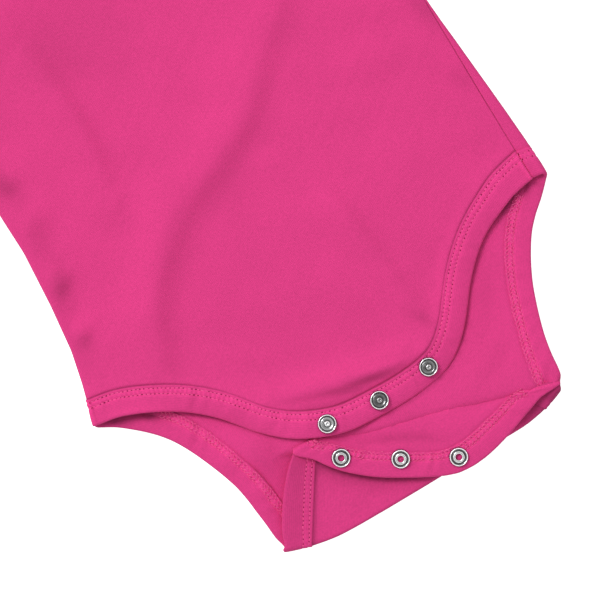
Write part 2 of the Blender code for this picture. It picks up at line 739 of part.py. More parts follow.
def make_sleeve(name, side, cotton):
    """A short set-in sleeve: a flattened tube from the armhole seam to the hem."""
    rows_up = np.array(ARMHOLE_ROWS + (0.0,))
    downs = UNDERARM_DOWN + (ARMHOLE[0][0] + SEAM_GAP - UNDERARM_DOWN) * rows_up
    armhole = np.column_stack([armhole_half(downs) + SEAM_GAP, downs])
    armhole[-1] += (1.2, 0.3)
    hem = np.array(HEM_TOP) + (np.array(HEM_BOTTOM) - np.array(HEM_TOP)) * (
        np.linspace(0, 1, len(rows_up))[:, None])
    steps = np.linspace(0, 1, 8)
    upper_edge = (np.array(HEM_TOP) - armhole[0]) / np.linalg.norm(np.array(HEM_TOP) - armhole[0])
    lower_edge = (np.array(HEM_BOTTOM) - armhole[-1])
    lower_edge /= np.linalg.norm(lower_edge)
    out_top = np.array([upper_edge[1], -upper_edge[0]])
    out_bottom = np.array([-lower_edge[1], lower_edge[0]])
    shares = np.linspace(0, 1, len(rows_up))
    loop = []

    def layer_point(row, step, upper):
        place = armhole[row] + (hem[row] - armhole[row]) * step
        roll = top_roll(step) + (SIDE_ROLL - top_roll(step)) * shares[row]
        if not upper:
            return (*place, PANEL_WALL / 2)
        sag = 4 * shares[row] * (1 - shares[row]) * 2 * (roll - 0.72)
        puff = 1.3 * math.sin(math.pi * shares[row]) * math.sin(math.pi * step) ** 2
        return (*place, PANEL_WALL / 2 + 2 * roll - sag + puff)

    def top_roll(step):
        return SLEEVE_ROLL_TOP + (SIDE_ROLL - SLEEVE_ROLL_TOP) * step

    def rolled_over(row, step, outward, rising):
        high = np.array(layer_point(row, step, True))
        roll = (high[2] - PANEL_WALL / 2) / 2
        turns = (math.pi / 4, math.pi / 2, math.pi * 3 / 4)
        made = []
        for turn in (turns[::-1] if rising else turns):
            place = high[:2] + outward * roll * math.sin(turn)
            made.append((*place, high[2] - roll * (1 - math.cos(turn))))
        return made

    columns = []
    for step in steps:
        column = [layer_point(row, step, True) for row in range(len(rows_up))]
        column += rolled_over(len(rows_up) - 1, step, out_bottom, False)
        column += [layer_point(row, step, False) for row in reversed(range(len(rows_up)))]
        column += rolled_over(0, step, out_top, True)
        columns.append(column)
    loop = np.array(columns).transpose(1, 0, 2) * np.array([side, 1, 1])
    wall_object(name, loop, PANEL_WALL, cotton, closed=True)


def make_snaps(stud_steel, socket_steel, ring_steel):
    stud = [(4.4, 0), (4.75, 0.3), (4.75, 0.85), (4.4, 1.15), (3.9, 0.95), (3.4, 0.5),
            (1.75, 0.45), (1.6, 1.7), (1.2, 2.1)]
    socket = [(1.6, 0), (4.4, 0), (4.75, 0.3), (4.75, 0.9), (4.3, 1.2), (3.7, 0.75), (3.0, 0.75),
              (2.5, 1.15), (1.9, 1.15), (1.6, 0.8)]
    prong_ring = [(3.1, 0), (4.5, 0), (4.75, -0.35), (4.3, -0.9), (3.5, -0.9), (3.1, -0.4)]
    for number, (across, down) in enumerate(STUD_PLACES, 1):
        here = float(front_underside(across, down))
        slope = np.array([float(front_underside(across + 3, down)
                                - front_underside(across - 3, down)) / 6,
                          float(front_underside(across, down + 3)
                                - front_underside(across, down - 3)) / 6])
        normal = np.array([-slope[0], -slope[1], 1]) / math.sqrt(1 + slope @ slope)
        middle = np.array([across, down, here + BAND_WALL / 2])
        over = middle + normal * (BAND_WALL / 2 + SNAP_LIFT)
        below = middle - normal * (BAND_WALL / 2 + SNAP_LIFT)
        turned_object(f"stud_{number}", stud, over, normal, stud_steel, False)
        turned_object(f"stud_ring_{number}", prong_ring, below, normal, ring_steel, True)
    for number, (across, down) in enumerate(SOCKET_PLACES, 1):
        base = 4 * PLEAT_ROLL
        over = (across, down, base + BAND_WALL + SNAP_LIFT)
        below = (across, down, base - SNAP_LIFT)
        turned_object(f"socket_{number}", socket, over, (0, 0, 1), socket_steel, True)
        turned_object(f"socket_ring_{number}", prong_ring, below, (0, 0, 1), ring_steel, True)


def main():
    for thing in list(bpy.data.objects):
        bpy.data.objects.remove(thing)
    cotton = material_of("pink_interlock", (0.72, 0.055, 0.235), 0.9, 0)
    band_cotton = material_of("pink_binding", (0.70, 0.05, 0.225), 0.88, 0)
    stud_steel = material_of("polished_snap", (0.72, 0.72, 0.73), 0.22, 1)
    socket_steel = material_of("brushed_socket", (0.66, 0.66, 0.67), 0.3, 1)
    ring_steel = material_of("prong_ring", (0.62, 0.62, 0.63), 0.35, 1)
    make_front(cotton, band_cotton)
    make_back(cotton, band_cotton)
    make_neck(band_cotton)
    make_sleeve("left_sleeve", 1, cotton)
    make_sleeve("right_sleeve", -1, cotton)
    make_snaps(stud_steel, socket_steel, ring_steel)


main()
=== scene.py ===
# Baby bodysuit laid flat with its crotch flaps open: cloth, seams, stitching and snaps.
import math

import bmesh
import bpy
import numpy as np
from mathutils import Matrix, Vector


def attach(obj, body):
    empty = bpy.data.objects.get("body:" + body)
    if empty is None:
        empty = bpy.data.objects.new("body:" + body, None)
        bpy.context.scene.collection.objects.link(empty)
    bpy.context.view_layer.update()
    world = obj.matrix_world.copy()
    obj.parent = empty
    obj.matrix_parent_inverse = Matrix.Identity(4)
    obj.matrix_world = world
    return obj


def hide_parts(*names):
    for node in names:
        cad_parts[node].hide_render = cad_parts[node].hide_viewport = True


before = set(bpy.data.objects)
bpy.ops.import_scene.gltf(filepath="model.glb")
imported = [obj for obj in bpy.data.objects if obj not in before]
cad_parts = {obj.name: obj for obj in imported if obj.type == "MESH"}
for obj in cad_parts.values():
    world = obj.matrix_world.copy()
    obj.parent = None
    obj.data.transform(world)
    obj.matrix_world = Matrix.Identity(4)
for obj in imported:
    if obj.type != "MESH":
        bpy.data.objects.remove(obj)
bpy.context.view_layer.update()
print("solids loaded")

# Sizes are in millimetres on the garment, as (across, down): across grows to the wearer's
# left, down grows from the neck to the crotch. World X is across and world Y is minus down.
mm = 0.001
boxMiddle = np.array([0.0, -107.03, 0.0])
worldAxes = np.array([1, -1, 1])

cloth = {
    "panelWall": 1.1,
    "bandWall": 2.2,      # folded double
    "neckWall": 2.0,
    "seamGap": 0.4,
    "sideRoll": 1.4,      # radius of the roll at the side edges
    "sideGap": 0.34,
    "armGap": 0.5,        # how much wider the side seam opens at the underarm
    "armGapLength": 12,
    "tuck": 1.1,          # how far a panel goes under its binding
    "seamShadowFrom": 1.2,    # where the painted shadow line of a binding's seam lies, from the panel's edge
    "pitch": 1.9,         # of the panels' meshes
}
sideMeet = {cloth["bandWall"]: 0.9, cloth["panelWall"]: 0.27}   # how far the ends close the gap

# the outline that the front and the back share
body = {
    "underarmDown": -200.0,
    "sideTopDown": -197.5,
    "armGapDown": -183.0,
    "hipDown": -60.0,
    "shoulderHalf": 97.0,
    "neckHalf": 58.0,
    "neckPointDown": -326.0,
    "shoulderSlope": 0.36,
    "frontNeckDrop": 56.0,
    "backNeckDrop": 14.0,
    "neckRoundness": 2.4,
    "sideSeamAcross": 123.3,
    # down, left edge, right edge
    "sides": [(-200.0, -119.0, 121.0), (-160.0, -118.5, 121.5), (-114.0, -119.5, 123.6),
              (-92.0, -118.9, 124.8), (-62.0, -121.0, 127.2), (-37.0, -123.8, 129.2),
              (-20.0, -127.6, 130.4), (-12.0, -129.7, 130.9), (-5.0, -132.6, 131.3),
              (3.0, -133.6, 131.5), (12.0, -133.6, 131.6)],
    # down, half the width at the armhole
    "armhole": [(-312.0, 97.0), (-290.0, 89.5), (-262.0, 87.0), (-235.0, 92.0), (-214.0, 105.0),
                (-200.0, 120.0)],
    "armholeShares": (1, 0.86, 0.7, 0.52, 0.34, 0.17, 0.04),     # of the way up the armhole
}


def lengthAlong(points):
    return np.append(0, np.cumsum(np.linalg.norm(np.diff(points, axis=0), axis=1)))


def smoothCurve(points, count):
    # even samples along a smooth curve through the points, or samples at the given shares of it
    points = np.array(points, float)
    ends = np.vstack([2 * points[0] - points[1], points, 2 * points[-1] - points[-2]])
    dense = []
    for before, start, end, after in zip(ends, ends[1:], ends[2:], ends[3:]):
        for step in np.arange(12) / 12:
            dense.append(0.5 * (2 * start + (end - before) * step
                                + (2 * before - 5 * start + 4 * end - after) * step ** 2
                                + (3 * start - before - 3 * end + after) * step ** 3))
    dense = np.array(dense + [points[-1]])
    along = lengthAlong(dense)
    stations = count if np.ndim(count) else np.linspace(0, 1, count)
    wanted = np.array(stations) * along[-1]
    return np.column_stack([np.interp(wanted, along, column) for column in dense.T])


def movedAside(curve, distance):
    # the curve, moved to its left as it is followed where down is drawn downwards
    along = np.gradient(curve, axis=0)
    along /= np.linalg.norm(along, axis=1)[:, None]
    return curve + distance * np.column_stack([along[:, 1], -along[:, 0]])


def rowsAt(values, rows):
    # the values between the rows of a table, at fractional row numbers
    return np.column_stack([np.interp(rows, np.arange(len(values)), c) for c in values.T])


def ease(value):
    value = np.clip(value, 0, 1)
    return value * value * (3 - 2 * value)


def fade(distance, width, strength=1.0):
    # strongest at no distance, and nearly nothing at twice the width
    return strength * np.exp(-(distance / width) ** 2)


def distanceTo(curve, places):
    # from each place to the nearest sample of the curve
    return np.hypot(places[..., :1] - curve[:, 0], places[..., 1:2] - curve[:, 1]).min(-1)


def sideEdge(down, column):
    # across of the left edge (column 1) or of the right edge (column 2)
    table = np.array(body["sides"])
    return np.interp(down, table[:, 0], table[:, column])


def armholeHalf(down):
    curve = smoothCurve(body["armhole"], 40)
    return np.interp(down, curve[:, 0], curve[:, 1])


def neckCurve(across, half, top, drop):
    inside = np.clip(np.abs(across) / half, 0, 1)
    return top + drop * np.sqrt(1 - inside ** body["neckRoundness"])


def shoulderLine(across, neckDrop):
    across = np.abs(across)
    neck = neckCurve(across, body["neckHalf"], body["neckPointDown"], neckDrop)
    shoulder = body["neckPointDown"] + body["shoulderSlope"] * (across - body["neckHalf"])
    return np.where(across < body["neckHalf"], neck, shoulder)


def neckShares(count):
    # shares of the shoulder's width at the neck, closer together at its two ends
    even = np.linspace(-1, 1, count)
    crowded = 0.55 * even + 0.45 * np.sin(even * math.pi / 2)
    return 0.5 + crowded * body["neckHalf"] / body["shoulderHalf"] / 2


def neckStart():
    # share of the shoulder's width at which the neck begins
    return 0.5 - body["neckHalf"] / body["shoulderHalf"] / 2


foldForm = {
    "samples": 25,            # along a crest, for each of its points
    "reach": 60,
    "least": 0.06,            # share of a crest at both ends where it sinks no further
    "fullness": 0.6,          # the lower, the longer a crest stays high
    "steepness": 1.6,
}


def relief(places, folds):
    # what a table of soft folds adds at each place: a fold is its height, its width on the side
    # towards -across and on the other side as its crest is followed downwards, and the crest
    across, down = places[..., 0], places[..., 1]
    reach = foldForm["reach"]
    height = np.zeros(across.shape)
    for size, before, after, points in folds:
        crest = smoothCurve(points, foldForm["samples"] * len(points))
        near = ((across > crest[:, 0].min() - reach) & (across < crest[:, 0].max() + reach)
                & (down > crest[:, 1].min() - reach) & (down < crest[:, 1].max() + reach))
        offsets = np.stack([across[near][:, None] - crest[:, 0],
                            down[near][:, None] - crest[:, 1]], -1)
        distances = np.linalg.norm(offsets, axis=-1)
        nearest = distances.argmin(-1)
        distance = distances.min(-1)
        along = np.gradient(crest, axis=0)[nearest]
        along /= np.linalg.norm(along, axis=1)[:, None]
        offset = offsets[np.arange(len(nearest)), nearest]
        side = along[:, 1] * offset[:, 0] - along[:, 0] * offset[:, 1]
        width = before + (after - before) * ease(0.5 + side / (distance + 0.01) / 2)
        share = nearest / (len(crest) - 1)
        least = foldForm["least"]
        ends = np.sin(math.pi * np.clip(share, least, 1 - least)) ** foldForm["fullness"]
        height[near] += size * ends * np.exp(-(distance / width) ** 2 * foldForm["steepness"])
    return height


def onBody(position, down, wall, under):
    # middle of the back layer (under) or of the front layer, rolled over at both side edges
    roll = cloth["sideRoll"]
    position, down = np.broadcast_arrays(np.asarray(position, float), np.asarray(down, float))
    across = position.copy()
    rise = np.zeros(position.shape)
    rolling = np.zeros(position.shape, bool)
    for side, column in ((1, 2), (-1, 1)):
        edge = sideEdge(down, column) - side * wall / 2
        beyond = side * (position - edge) + roll
        here = beyond > 0
        turn = np.clip(beyond, 0, math.pi * roll) / roll
        rolled = edge - side * roll * (1 - np.sin(turn))
        rolled -= side * np.maximum(beyond - math.pi * roll, 0)
        across = np.where(here, rolled, across)
        rise = np.where(here, roll * (1 - np.cos(turn)), rise)
        rolling |= here
    if under:
        height = wall / 2 + rise
    else:
        lying = frontUnderside(across, down) + wall / 2
        height = np.where(rolling, wall / 2 + 2 * roll - rise, lying)
    return np.stack([across, down, height], -1)


def seamPositions(down, wall):
    # places of the side seams on the flat front and on the flat back at one level
    roll = cloth["sideRoll"]
    down = np.asarray(down, float)
    left = sideEdge(down, 1) + wall / 2 + roll - math.pi / 2 * roll
    rightEdge = sideEdge(down, 2) - wall / 2
    over = rightEdge - np.minimum(body["sideSeamAcross"], rightEdge)
    turn = np.arcsin(np.clip(1 - over / roll, -1, 1)) * roll
    frontRight = np.where(over < roll, rightEdge - roll + turn, rightEdge - over)
    backRight = np.where(over < roll, rightEdge - roll + math.pi * roll - turn,
                         rightEdge + (math.pi - 2) * roll + over)
    gap = cloth["sideGap"] / 2 * roll / (roll - wall / 2)
    atArm = ease((body["armGapDown"] - down) / cloth["armGapLength"])
    gap = gap + cloth["armGap"] * atArm - sideMeet[wall]
    return left + gap, frontRight - gap, backRight - gap


def monotone(values, at, wanted):
    # smooth curve through the values with no overshoot
    step = np.diff(at).reshape((-1,) + (1,) * (values.ndim - 1))
    slope = np.diff(values, axis=0) / step
    before, after = slope[:-1], slope[1:]
    early, late = 2 * step[1:] + step[:-1], step[1:] + 2 * step[:-1]
    product = before * after
    safe = np.where(product > 0, product, 1)
    between = np.where(product > 0, (early + late) * safe
                       / np.where(product > 0, early * after + late * before, 1), 0)
    slopes = np.concatenate([slope[:1], between, slope[-1:]])
    cell = np.clip(np.searchsorted(at, wanted, side="right") - 1, 0, len(at) - 2)
    width = step[cell]
    part = ((wanted - at[cell]).reshape(width.shape)) / width
    return (values[cell] * (1 + 2 * part) * (1 - part) ** 2
            + slopes[cell] * width * part * (1 - part) ** 2
            + values[cell + 1] * part ** 2 * (3 - 2 * part)
            + slopes[cell + 1] * width * part ** 2 * (part - 1))


def refined(grid, pitch, least=2, close=(), axes=(0, 1), closed=False):
    # the grid with smaller steps, and with a few close ones at its open edges
    for axis in axes:
        around = closed and axis == 0
        grid = np.moveaxis(grid, axis, 0)
        if around:
            grid = np.concatenate([grid[-3:], grid, grid[:4]])
        lengths = np.linalg.norm(np.diff(grid[..., :3], axis=0), axis=2).mean(axis=1)
        at = np.append(0, np.cumsum(lengths))
        first, last = (3, len(grid) - 4) if around else (0, len(grid) - 1)
        wanted = [] if around else [at[-1]]
        for start, length in zip(at[first:last], lengths[first:last]):
            steps = max(least, math.ceil(length / pitch))
            wanted += list(start + length * np.arange(steps) / steps)
        if not around:
            wanted += list(close) + [at[-1] - step for step in close]
        wanted = np.unique(np.round(wanted, 3))
        if not around:
            keep = np.append(True, np.diff(wanted) > 0.05)
            wanted = wanted[keep]
            wanted[-1] = at[-1]
        grid = np.moveaxis(monotone(grid, at, wanted), 0, axis)
    return grid


def normalsOf(grid, closed=False):
    if closed:
        grid = np.concatenate([grid[-3:], grid, grid[:3]])
    normals = np.cross(np.gradient(grid, axis=1), np.gradient(grid, axis=0))
    normals /= np.linalg.norm(normals, axis=2)[..., None] + 1e-9
    return normals[3:-3] if closed else normals


def edgeDistances(grid):
    # how far each point is from the first and last row and the first and last column
    found = []
    for axis in (0, 1):
        steps = np.linalg.norm(np.diff(grid, axis=axis), axis=2)
        start = np.cumsum(steps, axis=axis)
        zero = np.zeros_like(np.take(start, [0], axis=axis))
        start = np.concatenate([zero, start], axis=axis)
        found += [start, np.take(start, [-1], axis=axis) - start]
    return found


def rounding(distance, radius):
    # share of the wall's thickness near a rounded edge
    share = np.clip(distance / radius, 0, 1)
    return np.sqrt(np.clip(1 - (1 - share) ** 2, 0, 1)) * 0.97 + 0.03


def wobble(place, wave, seed, amount=1.0):
    # smooth uneven ripple with about the given wave length
    rng = np.random.RandomState(seed)
    total = np.zeros(np.shape(place))
    for _ in range(5):
        length = wave * rng.uniform(0.65, 1.6)
        total += np.sin(2 * math.pi * (place / length + rng.rand()))
    return total * amount / 2.2


def unevenness(places, waves):
    # broad waves of the cloth: their direction, wave length, seed and height
    return sum(wobble(turnAcross * places[..., 0] + turnDown * places[..., 1], length, seed, height)
               for turnAcross, turnDown, length, seed, height in waves)


def inWorld(points):
    return (np.asarray(points) - boxMiddle) * worldAxes * mm


def linked(name, mesh):
    made = bpy.data.objects.new(name, mesh)
    bpy.context.scene.collection.objects.link(made)
    return made


def newObject(name, vertices, faces, material, weave=None, paintedShadeAndLight=None):
    mesh = bpy.data.meshes.new(name)
    placed = inWorld(vertices)
    placed[:, 2] = np.maximum(placed[:, 2], 0)     # nothing goes into the floor
    mesh.from_pydata(placed.tolist(), [], [list(map(int, face)) for face in faces])
    if weave is not None:
        layer = mesh.uv_layers.new(name="weave")
        corners = np.empty(len(mesh.loops), int)
        mesh.loops.foreach_get("vertex_index", corners)
        layer.data.foreach_set("uv", np.asarray(weave)[corners].ravel() / 100)
    soft = bmesh.new()
    soft.from_mesh(mesh)
    bmesh.ops.recalc_face_normals(soft, faces=soft.faces)
    soft.to_mesh(mesh)
    soft.free()
    mesh.shade_smooth()
    # painted shade and painted highlight, which the cloth's material multiplies into its colour
    if paintedShadeAndLight is not None:
        layer = mesh.attributes.new("paintedShadeAndLight", "FLOAT", "POINT")
        layer.data.foreach_set("value", np.clip(paintedShadeAndLight, -0.4, 1).ravel())
    mesh.materials.append(material)
    return linked(name, mesh)


def shell(name, middle, over, under, weave, material, closed=False, paintedShadeAndLight=0.0):
    # a closed skin on both sides of a grid, joined round its open edges
    rows, columns = middle.shape[:2]
    normals = normalsOf(middle, closed)
    skins = [middle + normals * over[..., None], middle - normals * under[..., None]]
    vertices = np.concatenate([skin.reshape(-1, 3) for skin in skins])
    index = np.arange(rows * columns).reshape(rows, columns)
    if closed:
        index = np.concatenate([index, index[:1]])
    here, below = index[:-1], index[1:]
    quads = np.stack([here[:, :-1], below[:, :-1], below[:, 1:], here[:, 1:]], -1).reshape(-1, 4)
    faces = [quads, quads[:, ::-1] + rows * columns]
    borders = [index[:, 0], index[:, -1][::-1]]
    if not closed:
        borders += [index[0][::-1], index[-1]]
    for border in borders:
        faces.append(np.stack([border[:-1], border[:-1] + rows * columns,
                               border[1:] + rows * columns, border[1:]], -1))
    uv = np.concatenate([weave.reshape(-1, 2)] * 2)
    paintedShadeAndLight = np.concatenate([np.broadcast_to(paintedShadeAndLight, (rows, columns)).ravel()] * 2)
    return newObject(name, vertices, np.concatenate(faces), material, uv, paintedShadeAndLight)


def meshArea(grid):
    # in square metres
    first = grid[1:, 1:] - grid[:-1, :-1]
    second = grid[1:, :-1] - grid[:-1, 1:]
    return float(np.linalg.norm(np.cross(first, second), axis=2).sum() / 2 * mm * mm)


def declareSheet(piece, node, stitches=()):
    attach(piece, "root")
    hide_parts(node)
    for thread in stitches:
        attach(thread, "root")


# Materials

def feed(node, given):
    # gives the node's inputs, by name or number, a value or another node's output
    for place, value in given.items():
        if isinstance(value, bpy.types.NodeSocket):
            node.id_data.links.new(value, node.inputs[place])
        else:
            node.inputs[place].default_value = value
    return node


def addNode(tree, kind, given=None, **settings):
    node = tree.nodes.new(kind)
    for name, value in settings.items():
        setattr(node, name, value)
    return feed(node, given or {})


def calculate(tree, operation, *values):
    return addNode(tree, "ShaderNodeMath", dict(enumerate(values)), operation=operation).outputs[0]


def noise(tree, place, scale, detail, roughness=0.5):
    return addNode(tree, "ShaderNodeTexNoise", {"Vector": place, "Scale": scale, "Detail": detail,
                                                "Roughness": roughness}).outputs["Fac"]


def mixed(tree, factor, first, second):
    return addNode(tree, "ShaderNodeMix", {0: factor, 6: (*first, 1), 7: (*second, 1)},
                   data_type="RGBA").outputs[2]


def bumped(tree, height, strength, depth):
    return addNode(tree, "ShaderNodeBump", {"Height": height, "Strength": strength,
                                            "Distance": depth}).outputs[0]


def attribute(tree, name):
    return addNode(tree, "ShaderNodeAttribute", attribute_name=name).outputs["Fac"]


def objectPlace(tree):
    return addNode(tree, "ShaderNodeTexCoord").outputs["Object"]


def principled(name):
    material = bpy.data.materials.new(name)
    material.use_nodes = True
    return material, material.node_tree, material.node_tree.nodes["Principled BSDF"]


def shadesOf(colour, dark, light):
    return tuple(part * dark for part in colour), tuple(part * light for part in colour)


yarn = {
    "drift": (90, 0.25),      # noise scale and share that bends the columns
    "lean": 0.35,             # how far a stitch leans across its column
    "loop": (0.22, 0.6),      # how far the loops rise and fall, and their middle
    "fuzz": (1500, 0.9),      # noise scale and share of the loose fibres
    "fine": (1050, 0.8),      # of the uneven colour
    "broad": (38, 0.25),
    "columnTone": 0.2,
    "darker": 0.15,
}


def knitGroup():
    # interlock knit: fine columns of stitches, uneven yarn and a broad, faint cloudiness
    tree = bpy.data.node_groups.new("interlockKnit", "ShaderNodeTree")
    for name, kind in (("Weave", "NodeSocketVector"), ("Wale", "NodeSocketFloat"),
                       ("Course", "NodeSocketFloat")):
        tree.interface.new_socket(name, in_out="INPUT", socket_type=kind)
    for name in ("Mottle", "Height"):
        tree.interface.new_socket(name, in_out="OUTPUT", socket_type="NodeSocketFloat")
    given = addNode(tree, "NodeGroupInput").outputs
    weave = addNode(tree, "ShaderNodeSeparateXYZ", {0: given["Weave"]}).outputs
    place = objectPlace(tree)

    def patchy(key, detail, roughness=0.5):
        scale, share = yarn[key]
        return calculate(tree, "MULTIPLY", noise(tree, place, scale, detail, roughness), share)

    wale = calculate(tree, "DIVIDE", weave[0], given["Wale"])
    wale = calculate(tree, "MULTIPLY", calculate(tree, "ADD", wale, patchy("drift", 1)), math.pi)
    column = calculate(tree, "ABSOLUTE", calculate(tree, "SINE", wale))
    course = calculate(tree, "DIVIDE", weave[1], given["Course"])
    course = calculate(tree, "ADD", course, calculate(tree, "MULTIPLY", column, yarn["lean"]))
    loop = calculate(tree, "SINE", calculate(tree, "MULTIPLY", course, 2 * math.pi))
    stitch = calculate(tree, "MULTIPLY_ADD", loop, *yarn["loop"])
    height = calculate(tree, "ADD", calculate(tree, "MULTIPLY", column, stitch),
                       patchy("fuzz", 2, 0.6))
    mottle = calculate(tree, "ADD", patchy("fine", 2, 0.6), patchy("broad", 2))
    mottle = calculate(tree, "SUBTRACT", mottle, yarn["darker"])
    mottle = calculate(tree, "MULTIPLY_ADD", column, yarn["columnTone"], mottle)
    addNode(tree, "NodeGroupOutput", {"Height": height, "Mottle": mottle})
    return tree


knit = knitGroup()
dye = {
    "cloth": (0.765, 0.046, 0.24),
    "thread": (0.9, 0.088, 0.32),
    "threadSpread": (0.86, 1.12),
    "holeShadow": ((0.24, 0.008, 0.055), (0.40, 0.018, 0.1)),
    "spread": 0.50,           # from the darkest to the lightest yarn
    "paintedShadeStrength": 0.5,       # how much the painted shade takes from the colour
    "sheen": 0.16,
    "sheenTint": (1.0, 0.62, 0.78, 1),
    "roughness": 0.88,
    "wale": 0.0086,           # width of a column of stitches in the weave map
    "course": 0.0078,
    "yarnDepth": 0.00022,
}


def cotton(name, bump):
    material, tree, shader = principled(name)
    weave = addNode(tree, "ShaderNodeUVMap", uv_map="weave").outputs[0]
    cloudy = addNode(tree, "ShaderNodeGroup", node_tree=knit)
    feed(cloudy, {"Weave": weave, "Wale": dye["wale"], "Course": dye["course"]})
    dark, light = shadesOf(dye["cloth"], 1 - dye["spread"] / 2, 1 + dye["spread"] / 2)
    colour = mixed(tree, cloudy.outputs["Mottle"], dark, light)
    # painted shade and painted highlight: the colour is darker where the attribute is above zero and
    # lighter below it
    shade = calculate(tree, "MULTIPLY_ADD", attribute(tree, "paintedShadeAndLight"), -dye["paintedShadeStrength"], 1)
    shaded = addNode(tree, "ShaderNodeVectorMath", operation="SCALE")
    feed(shaded, {0: colour, "Scale": shade})
    feed(shader, {"Base Color": shaded.outputs[0], "Roughness": dye["roughness"],
                  "Normal": bumped(tree, cloudy.outputs["Height"], bump, dye["yarnDepth"]),
                  "Sheen Weight": dye["sheen"], "Sheen Roughness": 0.45,
                  "Sheen Tint": dye["sheenTint"], "Specular IOR Level": 0.25})
    return material


def threadMaterial():
    material, tree, shader = principled("sewingThread")
    place = objectPlace(tree)
    colour = mixed(tree, noise(tree, place, 900, 2),
                   *shadesOf(dye["thread"], *dye["threadSpread"]))
    feed(shader, {"Base Color": colour, "Roughness": 0.55, "Sheen Weight": 0.2,
                  "Normal": bumped(tree, noise(tree, place, 3200, 2), 0.35, 0.0001)})
    return material


def holeShadowMaterial():
    # painted shadow: a dark colour standing in for the shaded pit where the needle went through
    material, tree, shader = principled("needleHoleShadow")
    colour = mixed(tree, noise(tree, objectPlace(tree), 700, 2), *dye["holeShadow"])
    feed(shader, {"Base Color": colour, "Roughness": 1, "Specular IOR Level": 0})
    return material


# of each steel: colour, roughness, how uneven its gloss is, and the strength of its scratches
steels = {
    "polishedSnap": ((0.92, 0.92, 0.93), 0.1, 0.1, 0.06),
    "brushedSocket": ((0.9, 0.9, 0.91), 0.16, 0.14, 0.12),
    "prongRing": ((0.7, 0.7, 0.71), 0.3, 0.12, 0.1),
}
# darkest is the share of the colour left under full painted shade; wornShade is how unevenly the
# steel is worn; dull is the extra roughness in the hollows
paintedShadeAndWear = {"darkest": 0.07, "wornShade": 0.2, "dull": 0.16, "scratchDepth": 0.00005}


def steel(name):
    # the piece's painted reflection is 1 where a painted highlight makes it bright, and 0 in its
    # dull hollows, darkened by painted shade and dark painted reflection
    colour, roughness, uneven, scratch = steels[name]
    material, tree, shader = principled(name)
    place = objectPlace(tree)
    worn = noise(tree, place, 700, 3, 0.6)
    paintedReflection = attribute(tree, "paintedReflection")
    shade = calculate(tree, "SUBTRACT", paintedReflection, paintedShadeAndWear["wornShade"] / 2)
    shade = calculate(tree, "MULTIPLY_ADD", worn, paintedShadeAndWear["wornShade"], shade)
    dull = calculate(tree, "MULTIPLY_ADD", paintedReflection, -paintedShadeAndWear["dull"], roughness + paintedShadeAndWear["dull"])
    scratches = noise(tree, place, 1800, 3)
    feed(shader, {"Base Color": mixed(tree, shade, *shadesOf(colour, paintedShadeAndWear["darkest"], 1)),
                  "Roughness": calculate(tree, "MULTIPLY_ADD", worn, uneven, dull),
                  "Normal": bumped(tree, scratches, scratch, paintedShadeAndWear["scratchDepth"]),
                  "Metallic": 1})
    return material


panelCotton = cotton("pinkInterlock", 0.55)
bandCotton = cotton("pinkBinding", 0.5)
threadPink = threadMaterial()
needleHoleShadow = holeShadowMaterial()
studSteel = steel("polishedSnap")
socketSteel = steel("brushedSocket")
ringSteel = steel("prongRing")
print("materials made")


# Stitching

stitching = {
    "pitch": 2.2,
    "dash": (1.75, 0.5, 0.42),       # length, width and height of one stitch
    "needleRows": (9.3, 12.2),       # from the free edge of a binding
    "looperLine": 11.3,
    "looperWidth": 4.4,
    "lift": 0.02,                    # of the paths above the cloth
    "uneven": 0.16,
    "smallest": (0.86, 0.8, 0.75),
    "largest": (1.1, 1.15, 1.15),
    "seed": 7,
    # a thread or the painted shadow of a needle's hole is its shift as shares of the pitch and the
    # width, its turn and how it is stretched along, across and up
    "needleThreads": [((0, 0), 0, (1, 1, 1))],
    "needleHoleShadows": [((0.5, 0), 0.5, (0.46, 1.4, 0.85))],
    "looperThreads": [((-0.12, 0.25), -0.95, (1.4, 0.8, 0.8)),
                      ((-0.05, -0.25), 0.8, (1.5, 0.8, 0.7)), ((0.32, 0.47), 0.2, (0.8, 0.8, 0.8)),
                      ((0.3, -0.47), -0.15, (0.85, 0.8, 0.8)), ((0.3, 0.05), 0.3, (0.6, 0.85, 0.9))],
    "looperHoleShadows": [((0.42, 0.28), 0.6, (0.28, 0.6, 0.3)), ((0.4, -0.3), -0.6, (0.28, 0.6, 0.3))],
}


def oneStitch(tree, given, threads, holeShadows):
    # the threads of one stitch and the painted shadows of the holes beside them
    dash = addNode(tree, "GeometryNodeMeshUVSphere", {"Segments": 6, "Rings": 4, "Radius": 0.5})
    stitch = addNode(tree, "GeometryNodeJoinGeometry")
    for number, (shift, angle, stretch) in enumerate(threads + holeShadows):
        along = calculate(tree, "MULTIPLY", given["Pitch"], shift[0])
        aside = calculate(tree, "MULTIPLY", given["Width"], shift[1])
        place = addNode(tree, "ShaderNodeCombineXYZ", {0: along, 1: aside})
        size = addNode(tree, "ShaderNodeVectorMath", {0: given["Dash"], 1: stretch},
                       operation="MULTIPLY")
        part = addNode(tree, "GeometryNodeTransform", {
            "Geometry": dash.outputs["Mesh"], "Rotation": (0, 0, angle),
            "Translation": place.outputs[0], "Scale": size.outputs[0]})
        if number >= len(threads):
            part = addNode(tree, "GeometryNodeSetMaterial", {"Geometry": part.outputs[0],
                                                             "Material": given["HoleShadow"]})
        feed(stitch, {0: part.outputs[0]})
    return stitch.outputs[0]


